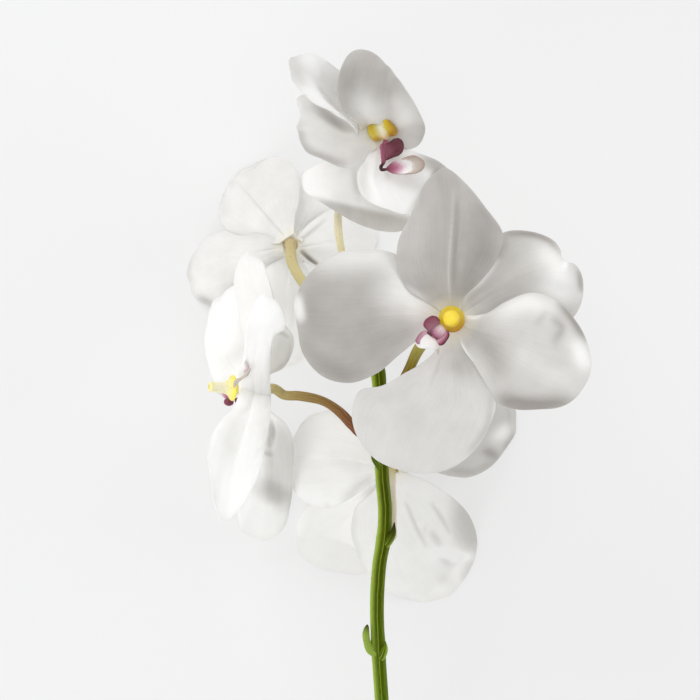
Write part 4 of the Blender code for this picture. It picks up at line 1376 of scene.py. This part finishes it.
FRONT_BLOOM = Bloom(
    name="front", heart=(452, 320, 84), face=(-0.13, 0.09, 0.99), lip_way=(-0.72, -0.69, 0), seed=31,
    column=Column(((0.3, 2.1), (2.4, 2.3), (3.4, 3.9), (4.4, 4.45), (5.6, 4.3), (6.6, 3.6), (7.4, 2.95),
        (8.2, 2.85), (9.2, 2.95), (10.1, 2.5), (10.6, 1.4), (10.75, 0.1)), FRONT_GOLD, wings=0.03,
        # The brown here is painted shade on the skirt's side turned from the light.
        notch=0.05, axis=(-0.05, 0.05, 1), brown=1, brown_and_shade_turn=1.3, brown_and_shade_spread=1.25),
    lip=Lip(stalks=(Stalk(((447, 325, 87), (442, 329, 88.2), (437, 333.5, 89), (432, 338, 89.4)),
                (1.5, 2.1, 2.2, 1.3), (0.6, 0.66, 0.6, 0.34)),
            Stalk(((426, 331.3, 91.6), (430, 335.6, 91.6), (434.5, 340.6, 91.8), (438.6, 344.6, 91.6)),
                (0.3, 0.4, 0.35, 0.2), (0.1, 0.04, 0.04, 0.15)),
            Stalk(((434.5, 345, 90), (437, 348.5, 91), (438.2, 352, 91), (437.6, 355, 90)),
                (0.9, 0.7, 0.45, 0.2), (0.8, 0.88, 0.96, 1))),
        lobes=(Lobe(((442, 323, 88), (430, 333, 89)), ((439.5, 320, 90), (437, 317.3, 91.5),
                (432, 316, 92.5), (427.5, 318.2, 93), (424.2, 322.4, 93), (423.8, 326, 92),
                (426.5, 329.5, 90.5)), (0.58, 0.48, 0.38), dark_rim=0.8),
            Lobe(((434, 340, 89), (444.5, 328.5, 88)), ((437, 343.6, 90.5), (440.3, 345.4, 91.5),
                (444.2, 343.4, 92.5), (447.2, 339.5, 92.5), (449, 335, 91.5), (447.5, 330.5, 89.5)),
                (0.74, 0.56, 0.2)),
            Lobe(((427, 331.5, 88.6), (437.5, 343, 88.6)), ((423.5, 332.6, 91), (419.3, 335.4, 93.5),
                (416.3, 339.5, 95), (415.6, 344, 96), (419, 347.6, 96.4), (425, 348.8, 96),
                (431, 349.6, 95), (436, 349.4, 93.6), (438.6, 346.6, 91)), (0.5, 0.76, 0.79), belly=-1.4,
                dark_rim=0),
            Lobe(((430, 333.2, 89.4), (421.5, 337.5, 92.2)), ((426, 330.8, 91.4), (420.5, 332.8, 94.2),
                (416.6, 337.2, 96), (415.6, 341, 96.8), (417.4, 343.2, 96.8)), (0.54, 0.6, 0.54),
                belly=-0.5))),
    pedicel=Pedicel(((396, 400, 62), (407.5, 373, 64), (421.5, 345, 69), (444, 325, 75)), 420,
        FRONT_PEDICEL, radius=1.9),
    tepals=(Tepal("petal_a", 0.6, 1.2, ((464, 298, 86), (479, 283, 88), (496, 260, 91), (503, 236, 93),
            (485, 207, 97), (462, 180, 99), (443, 168, 100), (427, 181, 99), (411, 215, 95), (398, 243, 92),
            (397, 266, 90), (407, 287, 87), (424, 299, 85)), tone=0.79, rib=-0.2,
            folds=(Fold(((454, 190), (451, 235), (449, 268), (450, 300)), 1.8, 0.35, -0.16),
                Fold(((458, 200), (456, 240), (454, 290)), 3, -0.3, 0.12),
                Fold(((482, 210), (482, 248), (466, 284)), 13, 0, 0.14),
                Fold(((424, 200), (414, 240), (416, 270)), 12, 0, -0.1),
                Fold(((405, 286), (426, 300)), 4, 0.3, -0.25))),
        Tepal("dorsal_sepal", -0.6, 0, ((538, 322, 83), (571, 319, 86), (581, 303, 88), (583.5, 288, 89),
            (581, 273, 89), (574, 263.5, 89), (566.5, 261, 89), (562.5, 258, 89), (560.5, 250, 89),
            (555, 242, 89), (545, 236, 89), (529, 231.5, 88), (505, 232, 87), (484, 248, 85),
            (466, 280, 84)), tone=0.62,
            folds=(Fold(((546, 254), (558, 266), (564, 284)), 13, 0.6, -0.5),
                Fold(((508, 234), (530, 234), (550, 241), (561, 253)), 4, -0.8, 0.4),
                Fold(((579, 272), (582, 292)), 3.5, -0.6, 0.35),
                Fold(((566, 262), (565, 270)), 2.5, 0.4, -0.3),
                Fold(((461, 303), (466, 293), (479, 282), (497, 260)), 3.6, 0.6, -0.42),
                Fold(((542, 284), (574, 298)), 12, 0, -0.45), Fold(((515, 290), (480, 304)), 9, 0, 0.16))),
        Tepal("petal_b", 0.6, 1, ((462, 343, 86), (472, 360, 87), (487, 386, 90), (499, 404, 91),
            (515, 409, 91), (537, 409, 91.5), (562, 406, 93), (581, 392, 95), (591, 370, 97),
            (587, 342, 96), (572, 316, 94), (552, 298, 91), (535, 293, 89), (505, 302, 87), (484, 314, 86)),
            tone=0.55,
            folds=(Fold(((502, 312), (528, 303), (552, 310)), 11, 0.8, -0.42),
                Fold(((577, 344), (587, 366)), 9, 0.4, -0.5), Fold(((546, 372), (570, 384)), 8, 0, -0.12),
                Fold(((498, 400), (530, 408), (570, 403)), 10.5, -0.8, 0.62),
                Fold(((562, 304), (576, 320), (586, 338)), 6, -0.4, 0.62),
                Fold(((474, 328), (488, 342), (500, 374)), 14, -0.8, 0.27),
                Fold(((554, 318), (562, 328), (556, 342)), 5, -0.7, 0.22),
                Fold(((538, 322), (546, 314)), 4, -0.4, 0.14),
                Fold(((520, 352), (545, 378)), 9, 0.4, -0.08),
                Fold(((459, 339), (463, 347), (472, 361)), 2.2, 0.3, -0.4),
                Fold(((466, 318), (476, 317.5), (484, 313)), 2, 0.3, -0.3))),
        Tepal("lateral_sepal_a", -0.6, 2.4, ((436, 298, 83), (423, 276, 84), (395, 254, 87), (362, 249, 91),
            (332, 255, 94), (308, 275, 96), (294, 304, 97), (297, 328, 97), (304, 356, 96), (322, 376, 94),
            (350, 383, 91), (377, 373, 88), (400, 354, 85), (421, 338, 83)), tone=0.8,
            folds=(Fold(((322, 262), (350, 256), (388, 258), (418, 282)), 17, 0, -0.56),
                Fold(((390, 292), (414, 305), (426, 322)), 22, 0, -0.55),
                Fold(((297, 298), (300, 318)), 6, 0.5, -0.7, 3),
                Fold(((303, 345), (325, 366), (360, 378)), 10, 0, 0.14),
                Fold(((392, 352), (422, 334)), 14, 0, -0.18), Fold(((314, 286), (313, 335)), 14, 0, 0.1))),
        Tepal("lateral_sepal_b", -0.6, 0.3, ((434, 352, 82), (418, 366, 84), (405, 373, 85), (381, 386, 88),
            (359, 391, 90), (352, 410, 91), (360, 442, 92), (378, 461, 93), (408, 472, 93), (440, 472, 93),
            (467, 458, 92), (488, 430, 91), (496, 400, 89), (486, 378, 86), (472, 361, 84), (462, 346, 83)),
            tone=0.5, rib=0.1,
            folds=(Fold(((452, 352), (441, 384)), 12, 0, -0.1),
                Fold(((444, 352), (432, 384)), 2, -0.4, 0.06),
                Fold(((492, 396), (488, 425), (470, 452)), 4, 0, 0.22),
                Fold(((448, 364), (466, 372)), 6, 0, 0.06)))))

REAR_BLOOM = Bloom(
    name="rear", heart=(291, 245, 35), face=(0, 0, -1), lip_way=(0.9, -0.43, 0), seed=51,
    column=Column(((0.3, 2.1), (5, 2.3), (7.4, 2.2), (8, 4), (8.6, 4.4), (9.6, 3.8), (11.2, 2.6), (13, 2.4),
        (14.1, 2.9), (14.9, 2), (15.1, 0.1)), REAR_GOLD),
    lip=Lip((LOCAL_STALK,), LOCAL_LOBES, local=True, size=0.75, rise=5.6),
    pedicel=Pedicel(((345, 318, 57), (318, 300, 58), (302, 281, 56), (292, 262, 50)), 335, REAR_PEDICEL,
        radius=1.85, collar_radius=2.5, head_radius=2.2),
    tepals=(Tepal("petal_a", -0.6, 3, ((294, 222, 31), (299, 195, 22), (297, 170, 12), (283, 158, 5),
            (262, 160, -1), (242, 170, -3), (227, 190, -2), (218, 213, 3), (223, 226, 8.5), (240, 236, 17),
            (264, 245, 26.5)), tone=0.28,
            folds=(Fold(((240, 184), (258, 205), (285, 238)), 1.3, -0.35, 0.14),
                Fold(((222, 190), (221, 216)), 6, 0, 0.1), Fold(((240, 225), (262, 236)), 5, 0, 0.06))),
        Tepal("petal_b", 0.6, 3, ((260, 233, 24), (238, 229, 14), (216, 233, 6), (200, 245, 1),
            (190, 265, -2), (188, 280, -2), (195, 297, 0), (213, 308, 4), (232, 302, 9), (246, 289, 15),
            (262, 275, 22), (276, 262, 28)), tone=0.3,
            folds=(Fold(((200, 298), (213, 305)), 5, -0.5, 0.45),
                Fold(((197, 272), (205, 290)), 7, 0.3, -0.06), Fold(((190, 262), (189, 280)), 3, 0, 0.12))),
        Tepal("lateral_sepal_a", 0.6, 3, ((276, 258, 29), (262, 274, 24), (254, 296, 15), (250, 318, 8),
            (252, 342, 2), (264, 360, -1), (285, 366, -2), (303, 358, -1), (316, 338, 3), (320, 310, 9),
            (315, 285, 18), (306, 266, 26)),
            folds=(Fold(((278, 262), (276, 290)), 6, 0, 0.08),
                Fold(((296, 290), (292, 330)), 3, -0.4, 0.1))),
        Tepal("lateral_sepal_b", -0.6, 3, ((313, 266, 27), (335, 274, 19), (358, 272, 10), (374, 258, 2),
            (378, 238, -2), (372, 218, -2), (358, 206, 3), (338, 206, 13), (320, 214, 21), (303, 230, 30)),
            foot=((295, 257, 32.5), (293, 240, 33.5)),
            folds=(Fold(((300, 241), (311, 233), (324, 221)), 2.2, -0.4, 0.35),
                Fold(((301, 251), (308, 257), (317, 264)), 2.2, -0.9, 1.6),
                Fold(((352, 222), (366, 236), (372, 250)), 8, 0, 0.05))),
        Tepal("dorsal_sepal", 1.3, 1, ((310, 236, 22), (330, 222, 11), (340, 203, 2), (337, 185, -2),
            (322, 172, -3), (304, 172, 1), (294, 185, 9), (291, 205, 18), (290, 226, 27)), tone=0.16,
            folds=(Fold(((294, 188), (290, 212), (291, 232)), 2, 0, 0.16),))))

SIDE_BLOOM = Bloom(
    name="side", heart=(255, 389, 52), face=(-0.93, 0, 0.36), lip_way=(0, -0.42, -0.9), seed=71,
    column=Column(((0.3, 1.9), (4, 2), (7, 2.3), (7.9, 3.9), (8.4, 4.35), (8.9, 4), (9.8, 2.9), (11.2, 2.2),
        (13.5, 1.95), (15.4, 1.85), (16.6, 1.75), (17, 1.3), (17.05, 0.1)), SIDE_GOLD,
        axis=(-0.93, 0.05, 0.36)),
    lip=Lip(stalks=(Stalk(((250, 394, 49), (242, 399, 47), (235, 401.4, 46)), (1, 1, 1.2),
                (0.3, 0.25, 0.15)),
            Stalk(((223.9, 402, 46), (228.6, 401.7, 46.4), (233.6, 401.2, 46)), (0.8, 1.55, 1.1),
                (0.3, 0.2, 0.22)),
            Stalk(((234, 388, 62), (236, 382, 64), (242, 378, 67), (247, 374, 69), (250.5, 368, 71)),
                (0.5, 0.8, 0.45, 0.6, 0.3), (0.96, 1, 1, 0.99, 0.99)),
            Stalk(((243.5, 372, 64), (246.8, 368.6, 66.4), (244.6, 361, 69)), (0.5, 0.7, 0.45),
                (0.64, 0.66, 0.7))),
        lobes=(Lobe(((231, 399.5, 45), (231, 396, 45)), ((226, 398.5, 43), (219, 393.5, 40), (213, 390, 38),
                (211, 386.5, 37.5), (214, 383.5, 38), (220, 384.5, 40), (227, 388, 43)), (0.2, 0.6, 0.78),
                dark_rim=0.3),)),
    pedicel=Pedicel(((362, 433, 56.5), (352.5, 425.5, 56), (342.5, 414.5, 55), (326, 402.5, 53),
        (300, 396, 50), (283, 394.5, 48)), 436, SIDE_PEDICEL, collar_radius=2.2, head_radius=2),
    tepals=(Tepal("dorsal_sepal", -0.6, 3, ((270, 374, 50), (283, 368, 52), (293, 352, 55), (293, 338, 60),
            (284, 322, 66), (276, 303, 71), (269, 283, 73), (262, 264, 72), (250, 253, 66), (240, 257, 56),
            (235, 270, 46), (235, 288, 38), (240, 312, 36), (246, 340, 42)), tone=0.1,
            folds=(Fold(((280, 345), (280, 358), (276, 366)), 13, -0.5, 0.28, 5),
                Fold(((272, 333), (280, 331.5), (290, 337)), 2.4, 0, 0.35),
                Fold(((292, 340), (288, 360), (274, 373)), 3, 0, 0.3))),
        Tepal("petal_a", 0.6, 0, ((248, 335, 32), (246, 308, 30), (237, 286, 25), (226, 291, 20),
            (214, 300, 16), (208, 320, 16), (206, 345, 20), (208, 365, 27), (213, 380, 34), (230, 392, 42)),
            tone=0.06,
            folds=(Fold(((247, 326), (243, 345), (228, 364)), 9, -0.8, 0.2),
                Fold(((256, 300), (252, 330)), 5, 0, 0.1))),
        Tepal("petal_b", 0.6, 2, ((270.5, 374, 66), (270.5, 352, 75), (273, 338, 82), (284, 329, 87),
            (285, 316, 91), (279, 304, 93), (269, 296, 92), (258, 298, 88), (250, 312, 83), (246, 335, 76),
            (244, 355, 68), (238, 380, 60)), foot=((270.5, 408, 59), (242, 412, 58)),
            folds=(Fold(((248, 350), (250, 378)), 3, -0.5, 0.06),)),
        Tepal("lateral_sepal_a", -0.6, 0.8, ((233, 408, 65), (222, 418, 73), (213, 432, 79), (208, 452, 83),
            (211, 478, 87), (214, 500, 89), (222, 520, 89), (240, 510, 88), (252, 490, 85), (261, 468, 80),
            (265, 445, 73), (270, 420, 66), (271, 402, 62)), foot=((242, 386, 60), (270, 376, 60)),
            folds=(Fold(((225, 430), (232, 470), (228, 505)), 8, 0.4, 0.03),
                Fold(((263, 405), (262, 440)), 5, 0, 0.1), Fold(((244, 392), (266, 396)), 9, 0, 0.06),
                Fold(((232, 408), (246, 412), (252, 402)), 3, -0.4, 0.08))),
        Tepal("lateral_sepal_b", 0.6, 1.5, ((252, 440, 40), (243, 480, 26), (238, 515, 16), (246, 536, 10),
            (265, 540, 8), (282, 530, 10), (290, 505, 16), (293, 470, 26), (293.5, 440, 36), (286, 422, 44),
            (272, 413, 50)),
            folds=(Fold(((269.5, 420), (272, 432), (270, 444)), 4, -0.8, 0.4, 4),
                Fold(((263, 451), (271, 454)), 2.5, 0.4, 0.3),
                Fold(((281, 432), (280, 460), (278, 490)), 15.5, -0.2, 0.42, 6),
                Fold(((256, 484), (276, 495), (298, 508)), 12, -0.2, 0.42, 3),
                Fold(((293, 440), (294, 470), (290, 505), (285, 525)), 2.5, 0, 0.25)))))

LOWER_BLOOM = Bloom(
    name="lower", heart=(390, 468, 27), face=(0, 0, -1), lip_way=(-0.9, 0, 0), seed=91,
    column=Column(((0.3, 2.1), (3.8, 2.3), (5.9, 2.2), (6.5, 4), (7.1, 4.4), (8.1, 3.8), (9.7, 2.6),
        (11.5, 2.4), (12.6, 2.9), (13.4, 2), (13.6, 0.1)), REAR_GOLD),
    lip=Lip((LOCAL_STALK,), LOCAL_LOBES, local=True, size=0.75, rise=3),
    pedicel=Pedicel(((392, 527, 50), (391.8, 505, 48.5), (391.5, 484, 44.5)), 540, LOWER_PEDICEL,
        radius=1.6, collar_radius=2.4, head_radius=2.1),
    tepals=(Tepal("petal_a", -0.6, 2.5, ((373, 492, 23), (356, 506, 20.5), (351, 526, 17), (357, 553, 11),
            (372, 578, 7), (397, 597, 3), (425, 601, -1), (452, 592, -3), (470, 570, -3), (477, 545, -1),
            (470, 517, 5), (452, 497, 11), (430, 482, 17), (410, 474, 22)), tone=0.08, foot=((383, 479, 26),
            (401, 470, 26)),
            folds=(Fold(((406, 502), (415, 524), (426, 546)), 2.2, -0.6, 0.3),
                Fold(((431, 503), (440, 516), (449, 532)), 2.2, -0.6, 0.3),
                Fold(((426, 524), (424, 534)), 2.2, -0.3, 0.14),
                Fold(((432, 533), (440, 545)), 4, -0.5, 0.32),
                Fold(((441, 557), (450, 565)), 4.5, -0.5, 0.32),
                Fold(((466, 500), (475, 524), (477, 546)), 19, -0.6, 0.62, 3),
                Fold(((452, 518), (457, 540)), 7, 0, 0.16), Fold(((436, 553), (470, 557)), 5, 0.5, -0.5),
                Fold(((472, 562), (463, 578)), 5, 0, 0.3), Fold(((438, 575), (455, 585)), 7, 0, 0.14),
                Fold(((412, 598), (422, 598)), 3, 0, -0.2), Fold(((400, 480), (425, 492)), 9, 0, -0.14),
                Fold(((356, 510), (353, 530), (360, 556)), 3, 0, 0.16))),
        Tepal("dorsal_sepal", 0.6, -1, ((350, 491, 13), (322, 499, 7), (302, 513, 4), (297, 530, 1),
            (300, 552, -2), (315, 566, -4), (343, 573, -4), (368, 569, -2), (376, 545, 2), (380, 517, 8))),
        Tepal("petal_b", -0.6, 2.5, ((372, 438, 24), (362, 424, 24), (345, 413, 22), (325, 411, 20),
            (305, 420, 18.5), (293, 438, 17.5), (288, 462, 17), (291, 485, 16), (305, 503, 15),
            (328, 508, 17), (352, 497, 21)),
            folds=(Fold(((335, 458), (352, 462), (374, 470)), 12, -0.4, 0.13),
                Fold(((345, 500), (356, 489), (374, 478)), 5.5, -0.4, 0.34),
                Fold(((326, 504), (329, 507)), 3, 0, 0.2),
                Fold(((292, 498), (308, 507), (326, 510)), 3, 0, 0.08))),
        Tepal("lateral_sepal_a", 0.6, 2, ((420, 446, 20), (428, 422, 11), (422, 402, 3), (405, 391, -2),
            (382, 391, -2), (362, 402, 3), (357, 422, 11), (366, 445, 20)), tone=0.1),
        Tepal("lateral_sepal_b", -0.6, 2.5, ((425, 470, 21), (450, 476, 15), (470, 477, 10), (490, 468, 6),
            (505, 450, 2), (514, 430, -2), (515, 408, -2), (500, 393, 0), (475, 392, 8), (448, 408, 15),
            (428, 432, 21)), tone=0.6,
            folds=(Fold(((486, 452), (496, 456)), 5, -0.4, 0.3),
                Fold(((496, 438), (506, 428)), 7, 0.4, -0.5),
                Fold(((450, 470), (478, 472), (494, 462)), 5, 0, 0.16),
                Fold(((504, 450), (512, 432)), 4, 0, 0.2)))))

# Points read along the stem's middle line, of which each pedicel's seat is the nearest.
SEAT_STEPS = 40
STEM = Stem(
    route=((364, 305, 56), (371, 340, 56.5), (378, 372, 57), (380, 420, 57), (382.5, 480, 55.5),
    (385, 510, 54.5), (383.5, 540, 53), (380, 560, 51.5), (378, 580, 49.5), (377, 605, 47), (378, 640, 43),
    (381.5, 696, 35.5), (386, 760, 26), (391, 830, 15.5), (396, 900, 5.5), (399, 955, 2.1)),
    bracts=(Stalk(((384, 546, 53), (389, 541, 55), (393, 533, 56), (394.5, 522, 56)), (1.5, 1.4, 1.1, 0.4),
            (0, 0.3, 0.8, 1), green=0.5),
        Stalk(((382, 470, 56), (377, 464, 58.5), (373, 458, 60), (371, 452, 60)), (1.3, 1, 0.7, 0.3),
            (0, 0.1, 0.4, 0.8), green=0.5),
        Stalk(((379, 660, 41), (382.5, 655, 43), (385, 648, 45), (385.5, 641, 46)), (1.5, 1.4, 1.1, 0.3),
            (0, 0, 0, 0.4), green=0.5),
        Stalk(((377, 653, 42), (371, 650, 43), (367, 642, 44.5), (366, 633, 46), (367.4, 624.5, 47)),
            (1.8, 1.7, 1.3, 1.35, 1.15), (0, 0, 0, 0.1, 1), green=0.95)),
    finish=STEM_GREEN)


def main() -> None:
    """Make the camera, the studio, the stem and the five blooms."""
    logging.basicConfig(level=logging.INFO, format="%(message)s")
    VIEW.make_camera()
    Studio().build()
    STEM.build()
    line = STEM.middle_line(SEAT_STEPS)
    white, maroon = PetalFinish().make(), LipFinish().make()
    for bloom in (TOP_BLOOM, FRONT_BLOOM, REAR_BLOOM, SIDE_BLOOM, LOWER_BLOOM):
        pieces = bloom.build(white, maroon, line)
        LOG.info("%s bloom: %d pieces", bloom.name, len(pieces))


if __name__ == "__main__":
    main()
